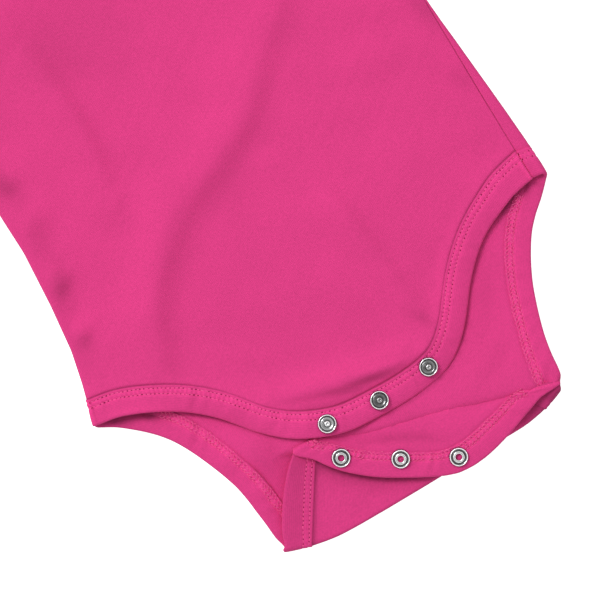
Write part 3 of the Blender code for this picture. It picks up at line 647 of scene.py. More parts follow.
def stitchTree(name, threads, holeShadows):
    # stitches along every path of the mesh, standing on the side that its facing tells
    tree = bpy.data.node_groups.new(name, "GeometryNodeTree")
    tree.interface.new_socket("Geometry", in_out="INPUT", socket_type="NodeSocketGeometry")
    for label, kind in (("Pitch", "Float"), ("Dash", "Vector"), ("Width", "Float"),
                        ("Uneven", "Float"), ("Smallest", "Vector"), ("Largest", "Vector"),
                        ("Seed", "Int"), ("Thread", "Material"), ("HoleShadow", "Material")):
        tree.interface.new_socket(label, in_out="INPUT", socket_type="NodeSocket" + kind)
    tree.interface.new_socket("Geometry", in_out="OUTPUT", socket_type="NodeSocketGeometry")
    given = addNode(tree, "NodeGroupInput").outputs
    curve = addNode(tree, "GeometryNodeMeshToCurve", {0: given["Geometry"]}).outputs[0]
    points = addNode(tree, "GeometryNodeCurveToPoints", mode="LENGTH")
    feed(points, {"Curve": curve, "Length": given["Pitch"]})
    facing = addNode(tree, "GeometryNodeInputNamedAttribute", {"Name": "facing"},
                     data_type="FLOAT_VECTOR")
    turned = addNode(tree, "FunctionNodeAxesToRotation", primary_axis="Z", secondary_axis="X")
    feed(turned, {0: facing.outputs["Attribute"], 1: points.outputs["Tangent"]})
    size = addNode(tree, "FunctionNodeRandomValue", data_type="FLOAT_VECTOR")
    feed(size, {0: given["Smallest"], 1: given["Largest"], "Seed": given["Seed"]})
    reach = addNode(tree, "ShaderNodeCombineXYZ", {0: given["Uneven"], 1: given["Uneven"]})
    opposite = addNode(tree, "ShaderNodeVectorMath", operation="SCALE")
    feed(opposite, {0: reach.outputs[0], "Scale": -1})
    aside = addNode(tree, "FunctionNodeRandomValue", data_type="FLOAT_VECTOR")
    feed(aside, {0: opposite.outputs[0], 1: reach.outputs[0], "Seed": given["Seed"]})
    moved = addNode(tree, "GeometryNodeSetPosition", {"Geometry": points.outputs["Points"],
                                                      "Offset": aside.outputs[0]})
    put = addNode(tree, "GeometryNodeInstanceOnPoints", {
        "Points": moved.outputs[0], "Instance": oneStitch(tree, given, threads, holeShadows),
        "Rotation": turned.outputs[0], "Scale": size.outputs[0]})
    real = addNode(tree, "GeometryNodeRealizeInstances", {0: put.outputs[0]})
    smooth = addNode(tree, "GeometryNodeSetShadeSmooth", {0: real.outputs[0]})
    isHoleShadow = addNode(tree, "GeometryNodeMaterialSelection", {"Material": given["HoleShadow"]})
    isThread = addNode(tree, "FunctionNodeBooleanMath", operation="NOT")
    feed(isThread, {0: isHoleShadow.outputs[0]})
    coloured = addNode(tree, "GeometryNodeSetMaterial", {
        "Geometry": smooth.outputs[0], "Selection": isThread.outputs[0],
        "Material": given["Thread"]})
    addNode(tree, "NodeGroupOutput", {0: coloured.outputs[0]})
    return tree


needleStitch = stitchTree("needleStitch", stitching["needleThreads"], stitching["needleHoleShadows"])
looperStitch = stitchTree("looperStitch", stitching["looperThreads"], stitching["looperHoleShadows"])


def sewn(name, paths, tree):
    # one mesh of stitches along the paths; a path is its points, their facing and if it closes
    vertices, edges, facing = [], [], []
    for points, outward, closes in paths:
        start = len(vertices)
        vertices += list(points)
        facing += list(outward)
        edges += [(start + step, start + step + 1) for step in range(len(points) - 1)]
        if closes:
            edges.append((start + len(points) - 1, start))
    mesh = bpy.data.meshes.new(name + "Path")
    mesh.from_pydata(inWorld(vertices).tolist(), edges, [])
    layer = mesh.attributes.new("facing", "FLOAT_VECTOR", "POINT")
    layer.data.foreach_set("vector", (np.array(facing) * worldAxes).ravel())
    path = linked(name + "Path", mesh)
    modifier = path.modifiers.new("stitches", "NODES")
    modifier.node_group = tree
    wanted = {"Pitch": stitching["pitch"] * mm, "Width": stitching["looperWidth"] * mm,
              "Dash": [part * mm for part in stitching["dash"]], "Seed": stitching["seed"],
              "Uneven": stitching["uneven"] * mm, "Smallest": stitching["smallest"],
              "Largest": stitching["largest"], "Thread": threadPink, "HoleShadow": needleHoleShadow}
    for item in tree.interface.items_tree:
        if item.in_out == "INPUT" and item.name in wanted:
            modifier[item.identifier] = wanted[item.name]
    evaluated = path.evaluated_get(bpy.context.evaluated_depsgraph_get())
    result = bpy.data.meshes.new_from_object(evaluated)
    for vertex in result.vertices:
        vertex.co.z = max(vertex.co.z, 0)
    bpy.data.objects.remove(path)
    return linked(name, result)


# Leg, crotch and neck bindings

binding = {
    "width": 14.2,
    "widthAtSeam": 16.6,
    "neckWidth": 13.0,
    "pitch": 0.62,
    "edgeRound": 1.15,        # radius of the folded free edge
    "seamRound": 0.75,
    "endRound": 0.35,
    "plainEdge": 1.2,         # width beside the free edge and the seam with no dips or waves
    "plainSeam": 0.8,
    "crown": (9.0, 0.22),     # width and height of the rounded part before the needle rows
    "dip": (0.45, 0.3),       # width and depth of the dips at the needle rows
    "ripple": (10.75, 1.05),  # place and width of the ripple between the rows
    "rippleRise": 0.2,
    # strength of the painted shade and painted highlight that follow the ripple
    "rippleShade": 0.12,
    "lean": 0.35,
    "slowWave": (9.0, 3, 0.13),      # wave length, seed and height
    "softWave": (24.0, 5, 0.16),
    "rowsHighlight": (10.9, 2.6, 0.26),   # place, width and strength of the painted highlight: a paler strip at the rows, where the puffed cloth catches light
    # width of the painted shadow line at the seam
    "seamShadow": 0.45,
    "endRidge": (1.0, 0.9),          # place and width of the ridge near a cut end
    "endShade": (1.2, 0.7, 0.3),     # place, width and strength of the painted highlight on its top
    "crowded": 0.45,          # no stitches where the rows crowd more, stand up or are in shade
    "upright": 0.82,
    "shaded": 0.5,
    "stretch": (1.16, 1.06),  # the cut strip to the laid one, across and along
    "profile": (0, 0.12, 0.35, 0.7, 1.2, 1.9, 3.2, 4.8, 6.4, 7.6, 8.5, 8.95, 9.3, 9.65, 10.2,
                10.8, 11.3, 11.85, 12.2, 12.55, 13.0, 13.4, 13.75, 14.0, 14.2),
}
bandShares = (0, 0.33, 0.67, 1)      # from the free edge to the seam


def acrossBand(outer, inner):
    return np.array([outer + (inner - outer) * share for share in bandShares])


def bandSurface(profile, along, wall):
    # how far both faces stand off the middle of the strip, and the ripple between its rows
    width = profile[-1]
    half = wall / 2 * np.minimum(rounding(profile, binding["edgeRound"]),
                                 rounding(width - profile, binding["seamRound"]))
    inner = ease(profile / binding["plainEdge"]) * ease((width - profile) / binding["plainSeam"])
    crownWidth, crownRise = binding["crown"]
    dipWidth, depth = binding["dip"]
    dips = sum(fade(profile - row, dipWidth) for row in stitching["needleRows"])
    crown = crownRise * np.sin(math.pi * np.clip(profile / crownWidth, 0, 1)) - depth * dips * inner
    place, rippleWidth = binding["ripple"]
    lean = along + binding["lean"] * profile
    ripple = np.cos(2 * math.pi * lean / stitching["pitch"])
    ripple = ripple * (fade(profile - place, rippleWidth) * inner)
    slow = wobble(along, *binding["slowWave"]) * ease(profile / 6) * inner
    soft = wobble(along, *binding["softWave"]) * np.sin(math.pi * np.clip(profile / width, 0, 1))
    over = half + crown + binding["rippleRise"] * ripple + slow + soft
    return over, half + 0.6 * crown - slow * 0.5, ripple


def sewableRuns(line, normals, depth, closed):
    # stretches of the strip, by row number, where stitches lie flat, open and not crowded
    spread = np.linalg.norm(np.gradient(line, axis=0), axis=1)
    flat = np.abs(normals[:, 2]) > binding["upright"]
    flat &= spread > binding["crowded"] * np.median(spread)
    flat &= depth < binding["shaded"]
    flat[0] &= not closed or flat[-1]
    if flat.all():
        return [(slice(None), closed)]
    starts = np.flatnonzero(np.diff(np.append(0, flat.astype(int))) == 1)
    runs = [range(start, start + int(np.append(~flat[start:], True).argmax()))
            for start in starts]
    return [(list(run), False) for run in runs if len(run) > 4]


def band(name, grid, wall, outside, closed=False, ridge=0.0, seamShade=1.0):
    # a folded strip between its free edge and its seam, with its stitches; outside is 1 where
    # the upper face is the outside, and a fourth number at a point is how shaded it lies
    if grid.shape[2] == 3:
        grid = np.concatenate([grid, np.zeros(grid.shape[:2] + (1,))], -1)
    grid = refined(grid, binding["pitch"], axes=(0,), close=() if closed else (0.1, 0.3, 0.6),
                   closed=closed)
    profile = np.array(binding["profile"])
    at = np.linspace(0, profile[-1], grid.shape[1])
    middle = np.moveaxis(monotone(np.moveaxis(grid, 1, 0), at, profile), 0, 1)
    # depth here is the painted shade carried in as the fourth number
    middle, depth = middle[..., :3], middle[..., 3]
    along = lengthAlong(middle[:, 4])[:, None]
    fromEnds = np.minimum(along, along[-1] - along)
    over, under, ripple = bandSurface(profile, along, wall)
    if not closed:
        ridgePlace, ridgeWidth = binding["endRidge"]
        over = over + fade(fromEnds - ridgePlace, ridgeWidth, ridge)
        over = over * rounding(fromEnds, binding["endRound"])
        under = under * rounding(fromEnds, binding["endRound"])
    # painted shade: the shadow line at the seam, shade following the ripple and the shade carried
    # in; painted highlights: the paler rows and the top of the end ridge
    place, width, strength = binding["rowsHighlight"]
    paintedShadeAndLight = fade(profile - profile[-1], binding["seamShadow"], seamShade) * np.ones_like(along)
    paintedShadeAndLight += binding["rippleShade"] * ripple
    paintedShadeAndLight += depth - strength * np.exp(-np.abs((profile - place) / width) ** 3)
    place, width, strength = binding["endShade"]
    paintedShadeAndLight -= fade(fromEnds - place, width, strength * ridge)
    weave = np.stack(np.broadcast_arrays(profile[None, :], along), -1)
    made = shell(name, middle, over, under, weave, bandCotton, closed, paintedShadeAndLight)

    normals = normalsOf(middle, closed)
    skins = {1: middle + normals * (over + stitching["lift"])[..., None],
             -1: middle - normals * (under + stitching["lift"])[..., None]}
    rows = [int(np.abs(profile - row).argmin()) for row in stitching["needleRows"]]
    centre = int(np.abs(profile - stitching["looperLine"]).argmin())
    runs = sewableRuns(middle[:, centre], normals[:, centre], depth[:, centre], closed)
    needles = [(skins[outside][run, row], outside * normals[run, row], closes)
               for row in rows for run, closes in runs]
    loopers = [(skins[-outside][run, centre], -outside * normals[run, centre], closes)
               for run, closes in runs]
    threads = [sewn(name + "Stitches", needles, needleStitch),
               sewn(name + "Loops", loopers, looperStitch)]
    wide = float(np.linalg.norm(np.diff(middle, axis=1), axis=2).sum(axis=1).mean())
    acrossCut, alongCut = binding["stretch"]
    return made, threads, (wide * acrossCut, float(along[-1, 0]) * alongCut), meshArea(middle)


# Front

front = {
    "cut": (250, 400),
    "under": 1.45,            # height of its underside over the middle of the back
    "sideUnder": 2.8,         # and at the side seams and the legs
    "sideReach": 16,
    "armReach": 32,
    "legReach": 35,
    "neckRise": 1.3,
    "neckReach": (26, 18),    # down from the neck and out from it
    "foldsClear": 14,         # how soon the folds fade at the edges
    "foldScale": 1.18,
    "liftLength": 46.0,
    "pucker": (8.5, 11, 0.16),       # wave length, seed and height, at the leg seam
    "sidePucker": (9.0, 12, 0.13),
    "waves": [(1, 0.6, 31.0, 13, 0.12), (-0.4, 1, 27.0, 14, 0.14), (0.7, 1, 12.0, 15, 0.035)],
    "crotch": (-6, 36),       # across and width of the stretch that lies flat in the binding
    "crotchFlat": 0.95,
    "seamRidge": (6.5, 1.0),  # width and height
    "seamDip": (1.5, 0.75),
    "seamShadow": (0.6, 0.8),        # width and strength of the painted shadow line at the seam
    "sideSeamShadow": (0.4, 0.6),
    "sideShares": (0, 0.0045, 0.009, 0.02),      # columns close to the side seams
    "bandRows": 230,
    "pastEnds": ((3, 0.6), (3, -0.4)),           # how far the binding runs on at both ends
    "widening": (80, 44),     # where the binding starts to widen, and over how much
    "curlShares": (1, 0.15, 0, 0),               # from the free edge to the seam
    "droopShares": (1, 0.7, 0.35, 0.05),
    "closeRows": (0.1, 0.3, 0.6, 1.0, 1.5, 2.0, 2.6, 3.2, 3.8, 4.4, 5.2, 6.2),
    # across, down of the free edge
    "edge": [(-133.5, 2.3), (-116.3, 5.8), (-95.3, 16.2), (-78.3, 29.7), (-62.4, 48.5),
             (-47.0, 61.0), (-25.6, 70.2), (-3.8, 72.6), (14.2, 73.0), (30.8, 71.0),
             (43.0, 66.0), (55.3, 55.4), (71.7, 35.5), (87.6, 21.8), (106.7, 12.9),
             (115.5, 10.4), (124.0, 9.0)],
    # across, how far the flap is lifted there
    "lift": [(-134.0, 0.0), (-92.0, 0.4), (-70.0, 3.2), (-52.0, 6.1), (-30.0, 6.1), (-8.0, 4.6),
             (20.0, 2.6), (50.0, 0.7), (124.0, 0.0)],
    # across, how far the free edge curls down to the back there
    "curl": [(-134, -0.2), (-124, -1.2), (-114, -2.6), (-104, -2.0), (-94, -0.4), (-84, 0.6),
             (-75, 1.0), (-60, 0.8), (-50, 0.3), (-30, 0.3), (-8, 1.0), (20, 0.7), (45, 0.8),
             (60, 0.6), (95, 0.4), (106, -0.2), (114, -0.8), (124, -1.0)],
    # across, how far the whole binding droops there
    "droop": [(-92, 0.0), (-80, 1.2), (-67, 2.9), (-57, 2.4), (-47, 0.9), (-40, 0.7), (-8, 0.7),
              (20, 0.8), (45, 0.9), (60, 1.2), (88, 1.2), (101, 0.2), (112, 0.0)],
    # height, both widths and crest of each fold, as relief() takes them
    "folds": [
        (3.4, 22, 12, [(72, -160), (57, -137), (37, -119), (19, -100.5), (0.6, -88), (-26, -77),
                       (-41, -69), (-59, -53.5), (-73.5, -36), (-85, -12)]),
        (1.9, 18, 9, [(-50, -66), (-66, -50), (-78, -33), (-86, -14), (-92, 6)]),
        (2.9, 20, 8, [(-70, -190), (-66, -176), (-62, -143), (-64, -110), (-66, -92)]),
        (1.9, 16, 6.5, [(16, -66), (28, -42), (34, -4), (37, 30), (39, 50)]),
        (3.0, 5.0, 9, [(-50, 36), (-18, 46.5), (5, 51.5), (30, 55.5)]),
        (3.2, 16, 28, [(-44, -212), (-76, -206), (-106, -198)]),
        (2.6, 16, 14, [(104, -188), (70, -164), (44, -156)]),
        (2.0, 22, 18, [(-20, -252), (-6, -226), (20, -206)]),
        (1.8, 16, 14, [(66, -286), (60, -250), (68, -224)]),
    ],
    # small creases, in the same form
    "creases": [
        (2.0, 6, 10, [(-119, -71), (-112, -70), (-103, -72)]),
        (1.6, 5, 8, [(-122, -43), (-116, -42), (-109, -43)]),
        (1.0, 7, 12, [(-115, -105), (-108, -103), (-99, -106)]),
        (1.3, 7, 12, [(-116, -129), (-108, -127), (-98, -130)]),
        (0.5, 6, 8, [(-104, -86), (-98, -84), (-90, -86)]),
        (0.35, 3, 4, [(-34, 38), (-20, 43), (-6, 45)]),
        (0.7, 5, 2.6, [(-12, 46), (2, 50.5), (12, 53.4), (20, 55.6)]),
        (0.5, 2.6, 2.4, [(-24, 50), (-12, 55), (-4, 58)]),
        (0.4, 3, 4, [(4, 44), (18, 48), (33, 48)]),
        (0.3, 4, 5, [(-70, -8), (-62, 4), (-50, 12)]),
        (0.3, 5, 6, [(20, 4), (36, 14), (54, 16)]),
        (0.6, 9, 8, [(92, -62), (100, -40), (112, -18)]),
        (0.5, 10, 9, [(60, -92), (84, -84), (108, -82)]),
        (-0.7, 7, 5, [(96, -150), (101, -136), (104, -122)]),
        (0.4, 12, 10, [(-20, -10), (4, -2), (26, -6)]),
        (0.4, 8, 7, [(-58, 2), (-44, 18), (-38, 34)]),
        (0.45, 8, 8, [(70, -22), (74, -4), (70, 14)]),
        (0.6, 9, 8, [(84, -160), (58, -180), (40, -210)]),
        (0.6, 9, 9, [(-60, -250), (-40, -228), (-34, -200)]),
        (0.5, 8, 7, [(86, -120), (98, -108), (118, -104)]),
        (0.35, 7, 5, [(-84, 6), (-70, 20), (-60, 32)]),
    ],
    # shade of the deepest hollows: its strength, widths and line as for the folds
    "shades": [
        (0.46, 6, 7, [(-106, -78), (-111, -69), (-116, -59)]),
        (0.34, 6, 6, [(-112, -41), (-115, -37), (-118, -31)]),
        (0.2, 8, 8, [(-106, -100), (-109, -92), (-111, -84)]),
        (0.5, 7, 7, [(-114, -138), (-110, -127), (-107, -118)]),
        (0.22, 28, 28, [(-84, -164), (-48, -170), (-8, -186)]),
        (0.32, 8, 6, [(120, -106), (122, -92), (123.5, -78)]),
        (0.18, 6, 6, [(112, -60), (118, -54), (123, -47)]),
        (0.3, 4, 4, [(34, 34), (40, 43), (42, 50)]),
        (0.34, 2.6, 2.4, [(-25, 47), (-12, 53.4), (-2.5, 57.2)]),
        (0.4, 2.4, 2.6, [(-12, 49.4), (-4, 51.8), (3, 54), (12, 56.6)]),
        (0.3, 2.4, 2.2, [(-42, 46), (-33.6, 50.4), (-24.8, 54), (-11.5, 57)]),
    ],
}


def frontUnderside(across, down):
    inside = np.minimum(across - sideEdge(down, 1), sideEdge(down, 2) - across)
    belowArm = down - body["underarmDown"] + front["armReach"]
    atSide = (1 - ease(inside / front["sideReach"])) * ease(belowArm / front["armReach"])
    atLeg = ease((down - body["hipDown"]) / front["legReach"])
    rise = front["sideUnder"] - front["under"]
    base = front["under"] + rise * np.maximum(atSide, atLeg)
    freeEdge = smoothCurve(front["edge"], 60)
    below = np.interp(across, freeEdge[:, 0], freeEdge[:, 1]) - down
    lift = np.interp(across, *np.array(front["lift"]).T) * (1 - ease(below / front["liftLength"]))
    fromTop = down - shoulderLine(across, body["frontNeckDrop"])
    fromNeck = np.abs(across) - body["neckHalf"]
    downReach, outReach = front["neckReach"]
    besideNeck = (1 - ease(fromTop / downReach)) * (1 - ease(fromNeck / outReach))
    clear = ease((inside - 2) / front["foldsClear"]) * ease((fromTop - 2) / front["foldsClear"])
    folds = front["foldScale"] * relief(np.stack([across, down], -1), front["folds"])
    return base + lift + front["neckRise"] * besideNeck + folds * clear


def cutAtSides(curve, wall):
    ends = [seamPositions(curve[row, 1], wall)[column] for row, column in ((0, 0), (-1, 1))]
    rows = np.arange(len(curve))
    return rowsAt(curve, np.linspace(*np.interp(ends, curve[:, 0], rows), len(curve)))


def frontBandCurves(count):
    # free edge and seam of the front binding, and the edge of the panel, tucked under it
    edge = smoothCurve(front["edge"], count)
    before, after = front["pastEnds"]
    edge = np.vstack([edge[0] - before, edge, edge[-1] + after])
    start, length = front["widening"]
    widening = ease((edge[:, :1] - start) / length)
    extra = binding["widthAtSeam"] - binding["width"]
    seam = movedAside(edge, binding["width"] + extra * widening)
    panelEnd = movedAside(seam, -cloth["tuck"])
    return (cutAtSides(edge, cloth["bandWall"]), cutAtSides(seam, cloth["bandWall"]),
            cutAtSides(panelEnd, cloth["panelWall"]))


def frontShares():
    side = np.append(front["sideShares"], np.linspace(0, neckStart(), 6)[1:])
    return np.concatenate([side, neckShares(18)[1:-1], 1 - side[::-1]])


def armholeRows(shares, neckDrop):
    # rows of a panel from the shoulder line down to the underarm
    rows = []
    side = 2 * shares - 1
    low = body["underarmDown"]
    top = shoulderLine(side * body["shoulderHalf"], neckDrop) + cloth["seamGap"] / 4
    for shareUp in body["armholeShares"]:
        downs = low + (top - low) * shareUp
        half = armholeHalf(downs[0] - cloth["seamGap"] / 4)
        wide = np.abs(side) * body["shoulderHalf"]
        straight = np.maximum(wide - body["neckHalf"], 0) * (
            (half - body["neckHalf"]) / (body["shoulderHalf"] - body["neckHalf"]))
        straight = np.minimum(wide, body["neckHalf"]) + straight
        across = np.abs(side) * half
        across += (straight - across) * ease(shareUp / 0.6)
        rows.append(np.column_stack([np.sign(side) * across, downs]))
    return rows


def sideLevels():
    return np.linspace(body["sideTopDown"], body["hipDown"], 9)


def betweenSeams(downs, shares):
    left, right = seamPositions(downs, cloth["panelWall"])[:2]
    return left + (right - left) * shares


def frontRows(panelEnd):
    # the flat front, row by row from the shoulders to its edge under the binding
    shares = frontShares()
    rows = armholeRows(shares, body["frontNeckDrop"])
    for down in sideLevels():
        rows.append(np.column_stack([betweenSeams(down, shares), np.full(len(shares), down)]))
    ends = np.full(len(shares), panelEnd[0, 1])
    for _ in range(8):        # the columns and their lower ends depend on each other
        ends = np.interp(betweenSeams(ends, shares), panelEnd[:, 0], panelEnd[:, 1])
    for shareDown in np.linspace(0, 1, 12)[1:]:
        downs = body["hipDown"] + (ends - body["hipDown"]) * shareDown
        rows.append(np.column_stack([betweenSeams(downs, shares), downs]))
    return refined(np.array(rows), cloth["pitch"], close=front["closeRows"])


def makeFrontPanel(panelEnd):
    wall = cloth["panelWall"]
    flat = frontRows(panelEnd)
    middle = onBody(flat[..., 0], flat[..., 1], wall, False)
    fromTop, fromEnd, fromLeft, fromRight = edgeDistances(middle)
    inside = np.minimum.reduce([fromTop, fromEnd, fromLeft, fromRight])
    clear = ease((inside - 1.5) / 9)
    middle[..., 2] += relief(flat, front["creases"]) * clear
    along = flat[..., 0] + 0.35 * flat[..., 1]
    pucker = wobble(along, *front["pucker"]) * np.exp(-fromEnd / 5) * ease(fromEnd / 2)
    sidePucker = wobble(flat[..., 1], *front["sidePucker"])
    sidePucker *= np.exp(-np.minimum(fromLeft, fromRight) / 4)
    middle[..., 2] += pucker + (sidePucker + unevenness(flat, front["waves"])) * clear
    crotchAcross, crotchWidth = front["crotch"]
    atCrotch = np.exp(-((middle[..., 0] - crotchAcross) / crotchWidth) ** 4)
    raised = 1 - front["crotchFlat"] * atCrotch
    middle[..., 2] += raised * fade(fromEnd, *front["seamRidge"])
    middle[..., 2] -= fade(fromEnd, *front["seamDip"])
    half = wall / 2 * np.minimum(rounding(fromLeft, 0.55), rounding(fromRight, 0.55))
    half *= np.minimum(rounding(fromTop, 0.5), rounding(fromEnd, 0.4))
    # painted shade: shadow lines at the binding's seam and the right side seam, and shade in the
    # deepest hollows
    paintedShadeAndLight = fade(fromEnd - cloth["seamShadowFrom"], *front["seamShadow"])
    paintedShadeAndLight += fade(fromRight, *front["sideSeamShadow"]) + relief(flat, front["shades"])
    piece = shell("frontPanel", middle, half, half, flat, panelCotton, paintedShadeAndLight=paintedShadeAndLight)
    declareSheet(piece, "front_panel")


def makeFrontBinding(edge, seam):
    lengths = lengthAlong(edge)
    even = np.linspace(0, lengths[-1], front["bandRows"])
    rows = np.interp(even, lengths, np.arange(len(edge)))
    grid = np.moveaxis(acrossBand(rowsAt(edge, rows), rowsAt(seam, rows)), 0, 1)
    grid = onBody(grid[..., 0], grid[..., 1], cloth["bandWall"], False)
    curl = np.interp(grid[:, 0, 0], *np.array(front["curl"]).T)
    droop = np.interp(grid[:, 0, 0], *np.array(front["droop"]).T)
    grid[..., 2] -= curl[:, None] * np.array(front["curlShares"])
    grid[..., 2] -= droop[:, None] * np.array(front["droopShares"])
    piece, threads, flatSize, area = band("frontLegBinding", grid, cloth["bandWall"], 1, ridge=1.0)
    declareSheet(piece, "front_leg_binding",
                 threads)


def makeFront():
    edge, seam, panelEnd = frontBandCurves(321)
    makeFrontPanel(panelEnd)
    makeFrontBinding(edge, seam)


# Back, with its flap folded twice

back = {
    "cut": (260, 560),
    "legRows": 18,
    "waves": [(1, 0.5, 29.0, 21, 0.1), (-0.3, 1, 23.0, 22, 0.1)],
    "pucker": (8.0, 23, 0.15),
    "crotchRidge": (6, 0.9),
    "crotchDip": (1.5, 0.35),
    "legRidge": (6, 0.8),
    "legDip": (1.5, 0.32),
    # width and strength of the painted shadow lines at the crotch and leg seams
    "crotchSeamShadow": (0.6, 0.2),
    "legSeamShadow": (0.6, 0.15),
    "sideShares": (0, 0.0045, 0.009),
    # across, down of the free edges beside the legs
    "leftEdge": [(-136.0, 1.6), (-120.1, 11.7), (-102.3, 30.7), (-88.5, 62.2), (-84.6, 85.4),
                 (-83.0, 106.3)],
    "rightEdge": [(142.5, 8.8), (137.5, 8.8), (133.6, 9.6), (131.2, 11.4), (128.6, 14.0),
                  (123.9, 18.7), (110.1, 31.7), (98.0, 51.7), (89.9, 73.4), (87.1, 83.6),
                  (85.4, 92.8), (84.5, 100.6), (83.8, 104.6), (81.0, 107.8)],
    # the two folds of the flap, from the left free edge to the right one
    "lowerFold": [(-83.0, 106.5), (-69.0, 111.5), (-52.0, 114.3), (-15.0, 115.0), (30.0, 114.8),
                  (55.0, 114.8), (68.0, 112.8), (80.4, 108.1)],
    "upperFold": [(-52.4, 64.6), (-38.6, 65.4), (-28.0, 70.6), (-6.7, 78.0), (27.6, 87.2),
                  (47.0, 94.0), (57.0, 97.2), (82.3, 104.4)],
    # free edge across, down, and seam across, down of the folded-over crotch end
    "crotch": [(-52.4, 64.6, -38.6, 65.4), (-48.7, 69.6, -35.8, 68.4), (-43.0, 78.5, -29.4, 76.2),
               (-35.5, 87.6, -19.0, 85.2), (-23.5, 97.9, -6.0, 93.4), (-9.0, 107.0, 4.5, 99.6),
               (6.0, 115.0, 12.5, 103.4), (17.0, 118.4, 20.0, 104.6), (29.0, 118.2, 27.5, 104.2),
               (39.0, 116.2, 35.0, 102.6), (48.0, 113.6, 42.0, 101.2), (58.0, 110.2, 48.0, 99.8),
               (71.0, 106.2, 52.6, 98.4), (82.3, 104.4, 57.0, 97.2)],
    # soft creases by layer: 0 below, 1 between the folds, 2 on top
    "creases": {
        0: [(1.6, 12, 8, [(-66, 52), (-69, 61), (-78, 79), (-86, 99)]),
            (-0.8, 7, 6, [(81, 45), (66, 60), (54, 75)]),
            (-0.7, 6, 6, [(72, 75), (58, 84), (43, 90)]),
            (0.7, 8, 8, [(70, 36), (62, 62), (50, 84)]),
            (0.4, 8, 7, [(-96, 44), (-84, 60), (-76, 82)])],
        1: [(0.35, 6, 6, [(-52, 96), (-44, 100), (-30, 104)])],
        2: [(-1.5, 4, 4, [(-20, 80), (-4, 87.5), (7, 93.4), (17, 100.6)]),
            (0.6, 6, 6, [(-4, 80), (14, 86), (34, 92)]),
            (-0.5, 5, 5, [(30, 92), (42, 95), (54, 97)]),
            (0.8, 6, 9, [(-8, 87), (10, 95), (28, 99)])],
    },
    "shades": [(0.3, 3, 3, [(-20, 80), (-4, 87.5), (7, 93.4), (17, 100.6)])],
}
pleat = {
    "roll": 1.5,              # radius of the cloth's turn at each fold
    "facets": 8,
    "seamLeft": 1,            # where the bindings' seams meet the tables of the folds
    "seamRight": 6,
    "bandTilt": (1.3, 0.6, -0.1, -0.6),    # of the binding between the folds
    "bulge": (-2.5, -1.5),    # of the left end of the folds
    "crotchSpan": (0.08, 0.85),      # start and length of the used part of the crotch table
    "cornerTuck": (1.2, 0.3), # how far the crotch end goes in at the left, over what share
    "settled": (6, 1.5),      # width and depth of the sag of the top layer at the upper fold
    "bandSettled": (6, 1.1),
    # painted shade of the binding inside the folds, from the lower fold up to the upper one
    "leftShade": [(0, 0), (0.25, 0.05), (0.4, 0.22), (0.6, 0.36), (0.72, 1), (0.8, 1),
                  (0.88, 0.4), (0.95, 0)],
    "rightShade": [(0, 0.45), (0.3, 0.8), (0.45, 1), (0.7, 0.95), (0.85, 0.45), (0.95, 0)],
    # width and strength of the panel's shade between the layers
    "rightDark": (16, 0.7),
    "leftDark": (2.4, 0.9),
    "cornerDark": (8, 0.9),
    "edgeDark": (1.9, 0.8),
    "edgeGloom": (6, 0.5),
}
# the layer below swells up before the upper fold, until it is nearly level with it
swell = {"height": 5.4, "above": 25, "below": 3.2, "start": (-64, 17), "leftHeight": 3.4,
         "leftPlace": (-67.0, 52.0), "leftReach": 15.0}
# shade that the free edge of the front casts close beside it, deepest near the hips
contact = {"close": (1.5, 0.62), "atHips": (2.9, 1.7), "leftHip": (-133.0, -94.0),
           "rightHip": (92.0, 127.0), "rightShare": 0.7, "fade": 14.0}


def toUpperFold(places):
    return distanceTo(smoothCurve(back["upperFold"], 90), places)


def swelling(places):
    across, down = places[..., 0], places[..., 1]
    fold = smoothCurve(back["upperFold"], 90)
    distance = toUpperFold(places)
    above = down < np.interp(across, fold[:, 0], fold[:, 1])
    rise = np.where(above, fade(distance, swell["above"]), fade(distance, swell["below"]))
    start, length = swell["start"]
    fromLeft = np.hypot(across - swell["leftPlace"][0], down - swell["leftPlace"][1])
    left = fade(fromLeft, swell["leftReach"], swell["leftHeight"])
    return swell["height"] * rise * ease((across - start) / length) + left


def underFront(places):
    edge = smoothCurve(front["edge"], 160)
    across = places[..., 0]
    away = distanceTo(edge, places) * (places[..., 1] > np.interp(across, *edge.T))
    left, right = contact["leftHip"], contact["rightHip"]
    atLeft = ease((across - left[0]) / 6) * ease((left[1] - across) / contact["fade"])
    atRight = ease((across - right[0]) / contact["fade"]) * ease((right[1] - across) / 5)
    atHips = atLeft + contact["rightShare"] * atRight
    rolledOver = ease((places[..., 2] - 1.8) / 0.5) * ease((across - 95) / 10)
    shade = np.maximum(fade(away, *contact["close"]), fade(away, *contact["atHips"]) * atHips)
    return shade * (1 - rolledOver)


def pleated(lower, upper, low):
    # rows up the pleat from the layer below the lower fold to the layer above the upper fold
    lower, upper = np.array(lower, float), np.array(upper, float)
    outward = (lower - upper) / np.linalg.norm(lower - upper, axis=-1, keepdims=True)
    roll = pleat["roll"]
    first, second = lower - roll * outward, upper + roll * outward
    turns = np.linspace(0, math.pi, pleat["facets"] + 1)
    rows = []

    def add(place, height, layer):
        rows.append(np.concatenate([place, np.full(place.shape[:-1] + (1,), height),
                                    np.full(place.shape[:-1] + (1,), layer)], -1))

    for turn in turns:
        add(first + outward * roll * math.sin(turn), low + roll * (1 - math.cos(turn)),
            turn / math.pi)
    for share in (0.15, 0.33, 0.5, 0.67, 0.85):
        add(first + (second - first) * share, low + 2 * roll, 1.0)
    for turn in turns:
        add(second - outward * roll * math.sin(turn), low + roll * (3 - math.cos(turn)),
            1 + turn / math.pi)
    return np.array(rows)


def backShares():
    side = np.linspace(0, neckStart(), 4)[1:]
    return np.concatenate([back["sideShares"], side, neckShares(9)[1:-1], 1 - side[::-1]])


def endShares():
    return np.linspace(0, 1, len(backShares()) + 5)


